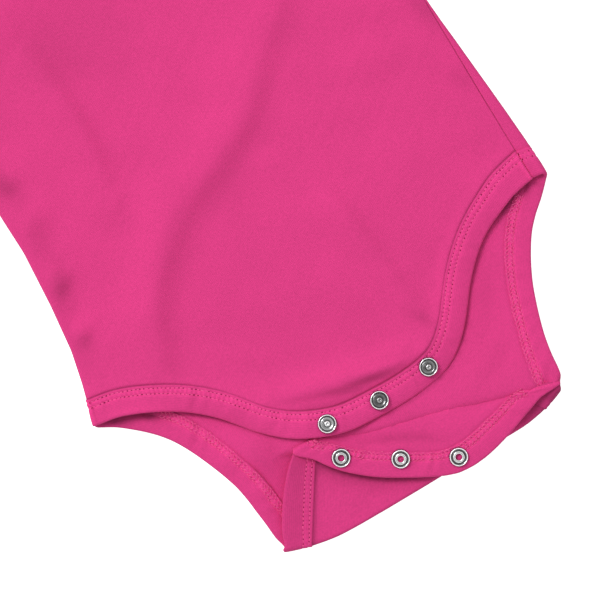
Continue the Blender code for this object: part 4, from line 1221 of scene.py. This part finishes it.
def backRow(left, right, shares):
    # even columns, then those that go round the right roll
    roll = cloth["sideRoll"]
    rollStart = sideEdge(right[1], 2) - cloth["panelWall"] / 2 - roll
    rolling = right[0] - rollStart
    if rolling > math.pi * roll:
        extra = np.append(np.linspace(0, math.pi * roll, 5), rolling) + rollStart
    else:
        extra = right[0] - np.linspace(max(rolling, 4.5), 0, 6)
    across = np.concatenate([left[0] + (extra[0] - left[0]) * shares[:-1], extra])
    shareAcross = (across - left[0]) / (right[0] - left[0])
    return np.column_stack([across, left[1] + (right[1] - left[1]) * shareAcross])


def legEdges(side):
    # free edge and seam of the back binding beside one leg, and the panel's edge along it
    edge = smoothCurve(back["leftEdge" if side < 0 else "rightEdge"], 240)
    widening = 1 - ease(np.linspace(0, 8, len(edge)))[:, None]
    extra = (binding["widthAtSeam"] - binding["width"]) * widening * (side > 0)
    seam = movedAside(edge, -side * (binding["width"] + extra))
    foldSeam = pleat["seamLeft"] if side < 0 else pleat["seamRight"]
    toFold = np.array(back["lowerFold"][foldSeam]) - seam[-1]
    seam += ease(np.linspace(-0.6, 1, len(seam)))[:, None] * toFold
    roll = cloth["sideRoll"]
    curves = []
    for curve, wall in ((edge, cloth["bandWall"]), (seam, cloth["bandWall"]),
                        (movedAside(seam, side * cloth["tuck"]), cloth["panelWall"])):
        down = curve[0, 1]
        last = seamPositions(down, wall)[0 if side < 0 else 2]
        rollStart = sideEdge(down, 1 if side < 0 else 2) - side * (wall / 2 + roll)
        if side < 0:
            stations = np.linspace(last, rollStart, 3)
        else:
            stations = np.append(last, np.linspace(math.pi * roll, 0, 5) + rollStart)
        at = np.interp(side * -stations, side * -curve[:, 0], np.arange(len(curve)))
        rest = np.linspace(at[-1], len(curve) - 1, back["legRows"] - len(at) + 1)[1:]
        points = rowsAt(curve, np.concatenate([at, rest]))
        points[:len(at), 0] = stations
        curves.append(points)
    return curves


def crotchRows():
    start, length = pleat["crotchSpan"]
    return smoothCurve(back["crotch"], start + length * endShares())


def placedBack(flat):
    points = onBody(flat[:, 0], flat[:, 1], cloth["panelWall"], True)
    return np.column_stack([points, flat, np.zeros(len(flat))])


def bodyRows(leftCorner, rightCorner):
    # rows of the back from the shoulders to the top of the legs
    wall = cloth["panelWall"]
    shares = backShares()
    rows = []
    for flat in armholeRows(np.append(shares[:-1], np.linspace(0.975, 1, 6)),
                            body["backNeckDrop"]):
        rows.append(np.column_stack([flat, np.full(len(flat), wall / 2), flat,
                                     np.zeros(len(flat))]))
    for down in sideLevels():
        left, _, right = seamPositions(down, wall)
        rows.append(placedBack(backRow((left, down), (right, down), shares)))
    for shareDown in (0.35, 0.68):
        ends = []
        for corner, column in ((leftCorner, 0), (rightCorner, 2)):
            down = body["hipDown"] + (corner[1] - body["hipDown"]) * shareDown
            ends.append((seamPositions(down, wall)[column], down))
        rows.append(placedBack(backRow(*ends, shares)))
    return rows


def legRows(leftEnd, rightEnd, foldLine):
    # rows of the back between the leg bindings, which bend into the lower fold
    shares, even = backShares(), endShares()[:, None]
    bulge = foldLine - (foldLine[0] + (foldLine[-1] - foldLine[0]) * even)
    rows = []
    for index in range(back["legRows"] - 1):
        flat = backRow(leftEnd[index], rightEnd[index], shares)
        spaced = leftEnd[index] + (rightEnd[index] - leftEnd[index]) * even
        flat = flat + (spaced - flat) * ease((index - 6) / 6)
        flat = flat + bulge * (index / back["legRows"]) ** 3
        fromEnds = np.minimum(flat[:, 0] - flat[0, 0], flat[-1, 0] - flat[:, 0])
        raised = flat[:, 1] - 1.3 * max(5 - index, 0) * ease(fromEnds / 3)
        for column, weight in ((1, 1 - even[:, 0]), (2, even[:, 0])):
            flat[:, 0] += (sideEdge(raised, column) - sideEdge(flat[:, 1], column)) * weight
        flat[:, 1] = raised
        rows.append(placedBack(flat))
    return rows


def backGrid(leftEnd, rightEnd):
    # each point is its place, its place in the weave, and its layer in the folds
    wall = cloth["panelWall"]
    shares = endShares()
    seams = slice(pleat["seamLeft"], pleat["seamRight"] + 1)
    folds = [smoothCurve(np.array(back[key])[seams], shares) for key in ("lowerFold", "upperFold")]
    for fold in folds:
        for end, beside in ((0, 1), (-1, -2)):
            inward = fold[beside] - fold[end]
            fold[end] -= inward * cloth["tuck"] / np.linalg.norm(inward)
    folded = pleated(*folds, wall / 2)
    rows = bodyRows(leftEnd[0], rightEnd[0]) + legRows(leftEnd, rightEnd, folded[0, :, :2])
    lengths = np.linalg.norm(np.diff(folded[..., :3], axis=0), axis=2)
    downAlong = rows[-1][:, 4] + 3 + np.vstack([np.zeros(len(shares)), np.cumsum(lengths, axis=0)])
    across = folds[0][:, 0]
    for row, down in zip(folded, downAlong):
        rows.append(np.column_stack([row[:, :3], across, down, row[:, 3]]))

    level = wall / 2 + 4 * pleat["roll"]
    crotch = crotchRows()
    end = movedAside(crotch[:, 2:], -cloth["tuck"])
    toEdge = crotch[:, :2] - crotch[:, 2:]
    toEdge /= np.linalg.norm(toEdge, axis=1)[:, None]
    tucked, reach = pleat["cornerTuck"]
    end += tucked * toEdge * (1 - ease(shares[:, None] / reach))
    start = folded[-1, :, :2]
    for shareDown in (0.25, 0.5, 0.75, 1):
        places = start + (end - start) * shareDown
        further = np.linalg.norm(places - start, axis=1)
        rows.append(np.column_stack([places, np.full(len(shares), level), across,
                                     downAlong[-1] + further, np.full(len(shares), 2.0)]))
    return refined(np.array(rows), cloth["pitch"] * 1.05, close=(0.1, 0.3, 0.7, 1.3))


def betweenLayers(places, layer, fromLeft, fromRight, leftCorner):
    # shade of the panel inside the folds and beside the free edge above it
    across = places[..., 0]
    between = ease((layer - 0.1) * 4) * (1 - ease((layer - 1.4) * 4))
    toFree = distanceTo(smoothCurve(np.array(back["crotch"])[:, :2], 120), places)
    dark = fade(fromRight, *pleat["rightDark"]) + fade(fromLeft, *pleat["leftDark"])
    dark += fade(toUpperFold(places), *pleat["cornerDark"]) * leftCorner
    dark += fade(toFree, *pleat["edgeDark"]) * ease((10 - across) / 20)
    dark += fade(toFree, *pleat["edgeGloom"]) * ease((10 - across) / 36)
    return dark * between


def makeBackPanel(leftEnd, rightEnd):
    wall = cloth["panelWall"]
    grid = backGrid(leftEnd, rightEnd)
    middle, weave, layer = grid[..., :3].copy(), grid[..., 3:5], grid[..., 5]
    fromTop, fromEnd, fromLeft, fromRight = edgeDistances(middle)
    sides = np.minimum(fromLeft, fromRight)
    clear = ease((np.minimum(sides, np.minimum(fromTop, fromEnd)) - 1.5) / 7)
    for number, creases in back["creases"].items():
        weight = 1 - ease(np.abs(layer - number) * 3)
        middle[..., 2] += relief(middle, creases) * clear * weight
    softness = np.abs(unevenness(middle, back["waves"]))
    atLeg = ease((weave[..., 1] + 20) / 20)
    pucker = wobble(weave[..., 1], *back["pucker"]) * np.exp(-sides / 4) * ease(sides / 2) * atLeg
    middle[..., 2] += softness * clear * ease(weave[..., 1] / 10) + np.abs(pucker)
    middle[..., 2] += swelling(middle) * (1 - ease(layer * 4))
    onTop = ease((layer - 1.6) * 4)
    awayFromLeft = ease((middle[..., 0] + 40) / 24)
    middle[..., 2] -= fade(toUpperFold(middle), *pleat["settled"]) * onTop * awayFromLeft
    middle[..., 2] += fade(fromEnd, *back["crotchRidge"]) - fade(fromEnd, *back["crotchDip"])
    beside = fade(sides, *back["legRidge"]) - fade(sides, *back["legDip"])
    middle[..., 2] += beside * atLeg * (1 - ease((layer - 0.2) * 5))
    half = wall / 2 * np.minimum(rounding(sides, 0.5), np.minimum(rounding(fromTop, 0.5),
                                                                  rounding(fromEnd, 0.4)))
    # painted shade: shadow lines at the seams, the shadow that the front's free edge casts, shade
    # inside the folds and along a crease of the top layer
    paintedShadeAndLight = fade(fromEnd - cloth["seamShadowFrom"], *back["crotchSeamShadow"])
    paintedShadeAndLight += fade(sides - cloth["seamShadowFrom"], *back["legSeamShadow"]) * atLeg
    paintedShadeAndLight += underFront(middle) * (1 - ease(layer * 4))
    paintedShadeAndLight += betweenLayers(middle, layer, fromLeft, fromRight, 1 - awayFromLeft)
    paintedShadeAndLight += relief(middle, back["shades"]) * onTop
    piece = shell("backPanel", middle, half, half, weave, panelCotton, paintedShadeAndLight=paintedShadeAndLight)
    declareSheet(piece, "back_panel")


def legSections(edge, seam):
    leg = []
    for outer, inner in list(zip(edge, seam))[:-1]:
        places = acrossBand(outer, inner)
        placed = onBody(places[:, 0], places[:, 1], cloth["bandWall"], True)
        placed[:, 2] += swelling(places)
        placed[:, 2] += relief(places, back["creases"][0])
        leg.append(placed)
    leg = np.array(leg)
    # the fourth number is the painted shadow that the front's free edge casts on it
    return list(np.concatenate([leg, underFront(leg)[..., None]], -1))


def foldSections(outerRow, seamRow, shade):
    # the binding up through both folds at one end of them
    ends = [acrossBand(np.array(back[key][outerRow]), np.array(back[key][seamRow]))
            for key in ("lowerFold", "upperFold")]
    rows = pleated(*ends, cloth["bandWall"] / 2)
    if outerRow == 0:
        reach = np.linalg.norm(rows[:, :1, :2] - rows[:1, :1, :2], axis=-1)
        bulge = np.sin(math.pi * np.clip(reach / reach[-1], 0, 1)) ** 0.8
        bulge = bulge * (1 - np.array(bandShares)) * (rows[..., 3] > 0.3)
        rows[..., :2] += bulge[..., None] * np.array(pleat["bulge"])
    between = 1 - ease(np.abs(rows[..., 3] - 1) * 2.5)
    rows[..., 2] += between * np.array(pleat["bandTilt"])
    # the fourth number is the painted shade inside the folds
    rows[..., 3] = np.interp(np.linspace(0, 1, len(rows)), *np.array(shade).T)[:, None]
    return list(rows)


def crotchSections():
    level = cloth["bandWall"] / 2 + 4 * pleat["roll"]
    levels = np.full(len(bandShares), level)
    return [np.column_stack([acrossBand(row[:2], row[2:]), levels, np.zeros(len(bandShares))])
            for row in crotchRows()]


def makeBackBinding(edges):
    sections = legSections(*edges[-1][:2]) + foldSections(0, pleat["seamLeft"], pleat["leftShade"])
    sections += crotchSections()
    sections += foldSections(-1, pleat["seamRight"], pleat["rightShade"])[::-1]
    sections += legSections(*edges[1][:2])[::-1]
    grid = np.array(sections)
    onTop = ease((grid[..., 2] - 5.6) / 1.2) * (grid[..., 0] > 0)
    grid[..., 2] -= fade(toUpperFold(grid), *pleat["bandSettled"]) * onTop
    piece, threads, flatSize, area = band("backLegBinding", grid, cloth["bandWall"], -1,
                                          seamShade=0.3)
    declareSheet(piece, "back_leg_binding", threads)


def makeBack():
    edges = {side: legEdges(side) for side in (-1, 1)}
    makeBackPanel(edges[-1][2], edges[1][2])
    makeBackBinding(edges)


# Neck

neckTurn = {"frontUnder": 2.9, "seamOverlap": 1.02}


def makeNeck():
    # one ring, its front over its back, turned over at the shoulders
    slope = math.atan(body["shoulderSlope"])
    width = binding["neckWidth"]
    tipAcross = body["neckHalf"] - width * math.cos(slope)
    tipDown = body["neckPointDown"] - width * math.sin(slope)
    roll = neckTurn["frontUnder"] / 2

    def arc(stations, neckDrop, under):
        across = (2 * stations - 1) * body["shoulderHalf"]
        seam = np.column_stack([across, shoulderLine(across, neckDrop)])
        drop = neckDrop + body["neckPointDown"] - width - tipDown
        edgeAcross = across * tipAcross / body["neckHalf"]
        edge = np.column_stack([edgeAcross, neckCurve(edgeAcross, tipAcross, tipDown, drop)])
        level = np.full((len(seam), 1), under + cloth["neckWall"] / 2)
        return list(np.stack([np.hstack([edge + (seam - edge) * share, level])
                              for share in (0, 0.5, neckTurn["seamOverlap"])], 1))

    def turnedOver(section, side):
        up = np.array([side * math.sin(slope), -math.cos(slope), 0.0])
        return [section + up * roll * math.sin(turn)
                + np.array([0, 0, -roll * (1 - math.cos(turn))])
                for turn in (math.pi / 4, math.pi / 2, math.pi * 3 / 4)]

    before = arc(neckShares(24), body["frontNeckDrop"], neckTurn["frontUnder"])
    behind = arc(neckShares(18), body["backNeckDrop"], 0.0)
    ring = before + turnedOver(before[-1], 1) + behind[::-1] + turnedOver(before[0], -1)[::-1]
    piece, threads, flatSize, area = band("neckBinding", np.array(ring), cloth["neckWall"], -1,
                                          closed=True)
    declareSheet(piece, "neck_binding",
                 threads)


# Sleeves

sleeve = {
    "hemTop": (188.0, -262.0),
    "hemBottom": (148.0, -190.0),
    "underarmTuck": (-1.75, 1.4),    # how far the lowest corner goes into the side seam
    "armholeGap": 0.25,
    "rollTop": 0.75,
    "sagFrom": 0.72,
    "puff": 1.3,
    "pitch": 1.8,
    "hemRows": (12.0, 14.9),         # needle rows, from the hem's edge
    "hemDip": (0.5, 0.2),
    "hemEnd": 14.6,
    "hemExtra": 0.28,
    "looperLine": 13.4,
    "rippleRise": 0.06,
    "creases": (26.0, 31, 0.2),
}


def sleeveLoop():
    # sections from the armhole to the hem, each a flattened ring
    wall = cloth["panelWall"]
    rowsUp = np.array(body["armholeShares"] + (0.0,))
    low = body["underarmDown"]
    downs = low + (body["armhole"][0][0] + cloth["seamGap"] - low) * rowsUp
    start = np.column_stack([armholeHalf(downs) - sleeve["armholeGap"], downs])
    start[-1] += sleeve["underarmTuck"]
    top, bottom = np.array(sleeve["hemTop"]), np.array(sleeve["hemBottom"])
    shares = np.linspace(0, 1, len(rowsUp))
    hem = top + (bottom - top) * shares[:, None]
    upper = (top - start[0]) / np.linalg.norm(top - start[0])
    lower = (bottom - start[-1]) / np.linalg.norm(bottom - start[-1])
    outTop, outBottom = np.array([upper[1], -upper[0]]), np.array([-lower[1], lower[0]])

    def layerPoint(row, step, isUpper):
        place = start[row] + (hem[row] - start[row]) * step
        topRoll = sleeve["rollTop"] + (cloth["sideRoll"] - sleeve["rollTop"]) * step
        roll = topRoll + (cloth["sideRoll"] - topRoll) * shares[row]
        if not isUpper:
            return (*place, wall / 2)
        sag = 4 * shares[row] * (1 - shares[row]) * 2 * (roll - sleeve["sagFrom"])
        puff = sleeve["puff"] * math.sin(math.pi * shares[row]) * math.sin(math.pi * step) ** 2
        return (*place, wall / 2 + 2 * roll - sag + puff)

    def rolledOver(row, step, outward):
        high = np.array(layerPoint(row, step, True))
        roll = (high[2] - wall / 2) / 2
        return [(*(high[:2] + outward * roll * math.sin(turn)),
                 high[2] - roll * (1 - math.cos(turn)))
                for turn in np.linspace(0, math.pi, 7)[1:-1]]

    columns = []
    for step in np.linspace(0, 1, 8):
        column = [layerPoint(row, step, True) for row in range(len(rowsUp))]
        column += rolledOver(len(rowsUp) - 1, step, outBottom)
        column += [layerPoint(row, step, False) for row in reversed(range(len(rowsUp)))]
        column += rolledOver(0, step, outTop)[::-1]
        columns.append(column)
    return np.array(columns).transpose(1, 0, 2)


def makeSleeve(name, node, side):
    # a flattened tube from the armhole seam to the hem
    wall = cloth["panelWall"]
    besideRows = tuple(row + shift for row in sleeve["hemRows"] for shift in (-0.4, 0, 0.4))
    middle = refined(sleeveLoop() * np.array([side, 1, 1]), sleeve["pitch"],
                     close=(0.1, 0.3, 0.7) + besideRows, closed=True)
    fromArmhole, fromHem = edgeDistances(middle)[2:]
    around = lengthAlong(middle[:, -1])
    creases = wobble(around[:, None] + 0.5 * fromHem, *sleeve["creases"]) * ease(fromHem / 25)
    normals = side * normalsOf(middle, True)
    doubled = sleeve["hemExtra"] * (1 - ease((fromHem - sleeve["hemEnd"]) / 1.2))
    dips = sum(fade(fromHem - row, *sleeve["hemDip"]) for row in sleeve["hemRows"])
    ripple = sleeve["rippleRise"] * np.cos(2 * math.pi * around[:, None] / stitching["pitch"])
    ripple = ripple * fade(fromHem - sleeve["looperLine"], 3)
    half = wall / 2 * np.minimum(rounding(fromArmhole, 0.5), 1)
    hemEnd = rounding(fromHem, 0.8)
    outer = (half + doubled - dips + ripple) * hemEnd + np.abs(creases) * 0.8
    inner = half * hemEnd + doubled * 0.2 * hemEnd
    over, under = (outer, inner) if side > 0 else (inner, outer)
    weave = np.stack(np.broadcast_arrays(around[:, None], fromHem), -1)
    piece = shell(name, middle, over, under, weave, panelCotton, closed=True)

    def roundHem(skin, facing, row):
        column = int(np.abs(fromHem[0] - row).argmin())
        return skin[:, column], facing[:, column], True

    skin = middle + normals * (outer + stitching["lift"])[..., None]
    liner = middle - normals * (inner + stitching["lift"])[..., None]
    needles = [roundHem(skin, normals, row) for row in sleeve["hemRows"]]
    threads = [sewn(name + "HemStitches", needles, needleStitch),
               sewn(name + "HemLoops", [roundHem(liner, -normals, sleeve["looperLine"])],
                    looperStitch)]
    declareSheet(piece, node,
                 threads)


# Snaps

snap = {
    "sides": 64,
    "lift": 0.45,
    "slopeReach": 3.0,        # how far round a stud the cloth's slope is taken
    "dish": 4.05,             # radius inside the rim
    "studs": [(-30.7, 61.9), (-1.9, 65.4), (28.2, 63.7)],
    "sockets": [(-33.5, 80.4), (-7.9, 96.4), (17.9, 110.7)],
    "studDishReflection": (1.1, 0.35, 0.55),      # painted reflection of the dish inside the rim, one per stud
    # and of each socket's dish
    "socketDishReflection": (0.8, 1.0, 0.95),
    # radius, height and painted reflection of the steel up each profile: painted highlights on the
    # rims, dark painted reflection and shade in the hollows
    "studShape": [(0, -0.02, 1), (4.7, -0.02, 0.1), (4.96, 0.06, 0), (4.85, 0.3, 0),
                  (4.74, 0.62, 0.25), (4.6, 0.92, 0.8), (4.42, 1.1, 1.3), (4.24, 1.1, 1.2),
                  (4.1, 0.9, 0.5), (3.98, 0.6, 0.08), (3.75, 0.42, 0.02), (3.4, 0.4, 0.04),
                  (3.22, 0.52, 0.4), (3.1, 0.62, 0.6), (2.96, 0.56, 0.4), (2.7, 0.42, 0.3),
                  (2.2, 0.28, 0.26), (1.75, 0.18, 0.16), (1.5, 0.2, 0.05), (1.36, 0.4, 0.06),
                  (1.24, 0.8, 0.3), (1.26, 1.2, 0.6), (1.34, 1.5, 0.9), (1.26, 1.8, 1),
                  (1.02, 2.0, 1), (0.72, 2.06, 0.9), (0.5, 1.98, 0.4), (0.3, 1.84, 0.15),
                  (0, 1.8, 0.1)],
    "socketShape": [(1.6, 0.0, 0.2), (4.7, 0.0, 0.1), (4.96, 0.06, 0), (4.85, 0.3, 0),
                    (4.74, 0.64, 0.3), (4.62, 0.94, 0.9), (4.44, 1.14, 1.2), (4.24, 1.16, 1.1),
                    (4.06, 0.98, 0.5), (3.93, 0.65, 0.1), (3.72, 0.5, 0.03), (3.35, 0.48, 0.04),
                    (3.18, 0.5, 0.1), (3.02, 0.62, 0.4), (2.88, 0.92, 0.85), (2.7, 1.12, 1),
                    (2.4, 1.16, 0.8), (2.1, 1.14, 0.9), (1.85, 1.04, 0.7), (1.66, 0.82, 0.3),
                    (1.6, 0.5, 0.15)],
    "ringShape": [(3.1, 0.0, 1), (4.5, 0.0, 1), (4.75, -0.2, 1), (4.78, -0.45, 1),
                  (4.65, -0.72, 1), (4.35, -0.9, 1), (3.9, -0.95, 1), (3.5, -0.9, 1),
                  (3.2, -0.7, 0.7), (3.1, -0.4, 0.4)],
}


def turnedPiece(name, node, profile, place, normal, material, ring, paintedReflection=1.0):
    sides = snap["sides"]
    profile = np.array(profile)
    angles = np.arange(sides) * 2 * math.pi / sides
    vertices, faces = [], []
    rows = profile if ring else profile[1:-1]
    # painted reflection of each ring of the profile, the dish's scaled for this snap
    paintedReflections = list(np.repeat(rows[:, 2] * np.where(rows[:, 0] < snap["dish"], paintedReflection, 1), sides))
    for radius, height, _ in rows:
        vertices += [Vector((radius * math.cos(a), radius * math.sin(a), height)) for a in angles]
    count = len(rows)
    for row in range(count if ring else count - 1):
        for here in range(sides):
            following, top = (here + 1) % sides, (row + 1) % count
            faces.append([row * sides + here, row * sides + following,
                          top * sides + following, top * sides + here])
    if not ring:
        for (_, height, bright), row in ((profile[0], 0), (profile[-1], count - 1)):
            vertices.append(Vector((0, 0, height)))
            paintedReflections.append(bright * paintedReflection)
            faces += [[row * sides + here, row * sides + (here + 1) % sides, len(vertices) - 1]
                      for here in range(sides)]
    turn = Vector((0, 0, 1)).rotation_difference(Vector(normal)).to_matrix().to_4x4()
    setIn = Matrix.Translation(Vector(place)) @ turn
    made = newObject(name, [tuple(setIn @ vertex) for vertex in vertices], faces, material)
    layer = made.data.attributes.new("paintedReflection", "FLOAT", "POINT")
    layer.data.foreach_set("value", np.clip(paintedReflections, 0, 1))
    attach(made, "root")
    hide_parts(node)


def makeSnaps():
    wall = cloth["bandWall"]
    reach = snap["slopeReach"]
    for number, (across, down) in enumerate(snap["studs"], 1):
        near = np.array([[across, down], [across + reach, down], [across - reach, down],
                         [across, down + reach], [across, down - reach]])
        heights = frontUnderside(near[:, 0], near[:, 1])
        slope = np.array([heights[1] - heights[2], heights[3] - heights[4]]) / (2 * reach)
        normal = np.array([-slope[0], -slope[1], 1]) / math.sqrt(1 + slope @ slope)
        middle = np.array([across, down, heights[0] + wall / 2])
        rise = normal * (wall / 2 + snap["lift"])
        turnedPiece(f"stud{number}", f"stud_{number}", snap["studShape"],
                    middle + rise, normal, studSteel, False, snap["studDishReflection"][number - 1])
        turnedPiece(f"studRing{number}", f"stud_ring_{number}", snap["ringShape"],
                    middle - rise, normal, ringSteel, True)
    base = 4 * pleat["roll"]
    for number, (across, down) in enumerate(snap["sockets"], 1):
        turnedPiece(f"socket{number}", f"socket_{number}", snap["socketShape"],
                    (across, down, base + wall + snap["lift"]), (0, 0, 1), socketSteel, True,
                    snap["socketDishReflection"][number - 1])
        turnedPiece(f"socketRing{number}", f"socket_ring_{number}",
                    snap["ringShape"], (across, down, base - snap["lift"]), (0, 0, 1), ringSteel,
                    True)


# Floor, light and camera

studio = {
    "floorSize": 3.0,
    "floorLevel": -0.0002,
    "floorGrey": 0.55,
    "floorGlow": 0.95,
    "fill": 0.62,
    "key": 60.0,
    "keySize": 1.1,
    "keyPlace": (-0.75, 2.15, 2.2),
    "mirrored": 0.7,          # how much brighter the room is in the snaps
    "horizon": 2.0,           # and low down
    "low": (0.5, 0.1),
    "ceiling": 0.12,          # brightness of the dark patch overhead that the snaps mirror
    "overhead": (0.92, 0.985),
    "frameWidth": 306.0,
    "focusLevel": 4.0,
    "lens": 100.0,
    "sensor": 36.0,
    "lookAt": (-10.1, -108.03),
    "turn": -31.0,
}


def makeFloor():
    half, level = studio["floorSize"] / 2, studio["floorLevel"]
    mesh = bpy.data.meshes.new("floor")
    mesh.from_pydata([(-half, -half, level), (half, -half, level), (half, half, level),
                      (-half, half, level)], [], [(0, 1, 2, 3)])
    material, tree, shader = principled("paleFloor")
    seen = addNode(tree, "ShaderNodeLightPath").outputs["Is Camera Ray"]
    grey = studio["floorGrey"]
    feed(shader, {"Base Color": (grey, grey, grey, 1), "Roughness": 0.95,
                  "Emission Color": (1, 1, 1, 1),
                  "Emission Strength": calculate(tree, "MULTIPLY", seen, studio["floorGlow"])})
    mesh.materials.append(material)
    linked("floor", mesh)


def makeRoom():
    world = bpy.data.worlds.new("softRoom")
    world.use_nodes = True
    tree = world.node_tree
    direction = addNode(tree, "ShaderNodeTexCoord").outputs["Generated"]
    up = addNode(tree, "ShaderNodeSeparateXYZ", {0: direction}).outputs["Z"]

    def stepped(limits, highest):
        return addNode(tree, "ShaderNodeMapRange", {"Value": up, "From Min": limits[0],
                                                    "From Max": limits[1], "To Max": highest},
                       interpolation_type="SMOOTHSTEP").outputs[0]

    grey = studio["ceiling"]
    colour = mixed(tree, stepped(studio["overhead"], 1), (1, 1, 1), (grey, grey, grey))
    glossy = addNode(tree, "ShaderNodeLightPath").outputs["Is Glossy Ray"]
    glow = calculate(tree, "ADD", stepped(studio["low"], studio["horizon"]), studio["mirrored"])
    glow = calculate(tree, "MULTIPLY", glow, glossy)
    glow = calculate(tree, "MULTIPLY_ADD", glow, studio["fill"], studio["fill"])
    feed(tree.nodes["Background"], {"Color": colour, "Strength": glow})
    bpy.context.scene.world = world


def makeLight():
    lamp = bpy.data.lights.new("key", "AREA")
    lamp.size = studio["keySize"]
    lamp.energy = studio["key"]
    key = linked("key", lamp)
    key.location = studio["keyPlace"]
    key.rotation_euler = (-Vector(studio["keyPlace"])).to_track_quat("-Z", "Y").to_euler()


def makeCamera():
    lens = bpy.data.cameras.new("camera")
    lens.lens = studio["lens"]
    lens.sensor_width = studio["sensor"]
    camera = linked("camera", lens)
    distance = studio["frameWidth"] * studio["lens"] / studio["sensor"] + studio["focusLevel"]
    camera.location = (studio["lookAt"][0] * mm, studio["lookAt"][1] * mm, distance * mm)
    camera.rotation_euler = (0, 0, math.radians(studio["turn"]))
    bpy.context.scene.camera = camera
    bpy.context.scene.view_settings.view_transform = "Standard"


makeFloor()
makeRoom()
makeLight()
makeCamera()
makeFront()
print("front made")
makeBack()
print("back made")
makeNeck()
makeSleeve("leftSleeve", "left_sleeve", 1)
makeSleeve("rightSleeve", "right_sleeve", -1)
print("neck and sleeves made")
makeSnaps()
print("snaps made")
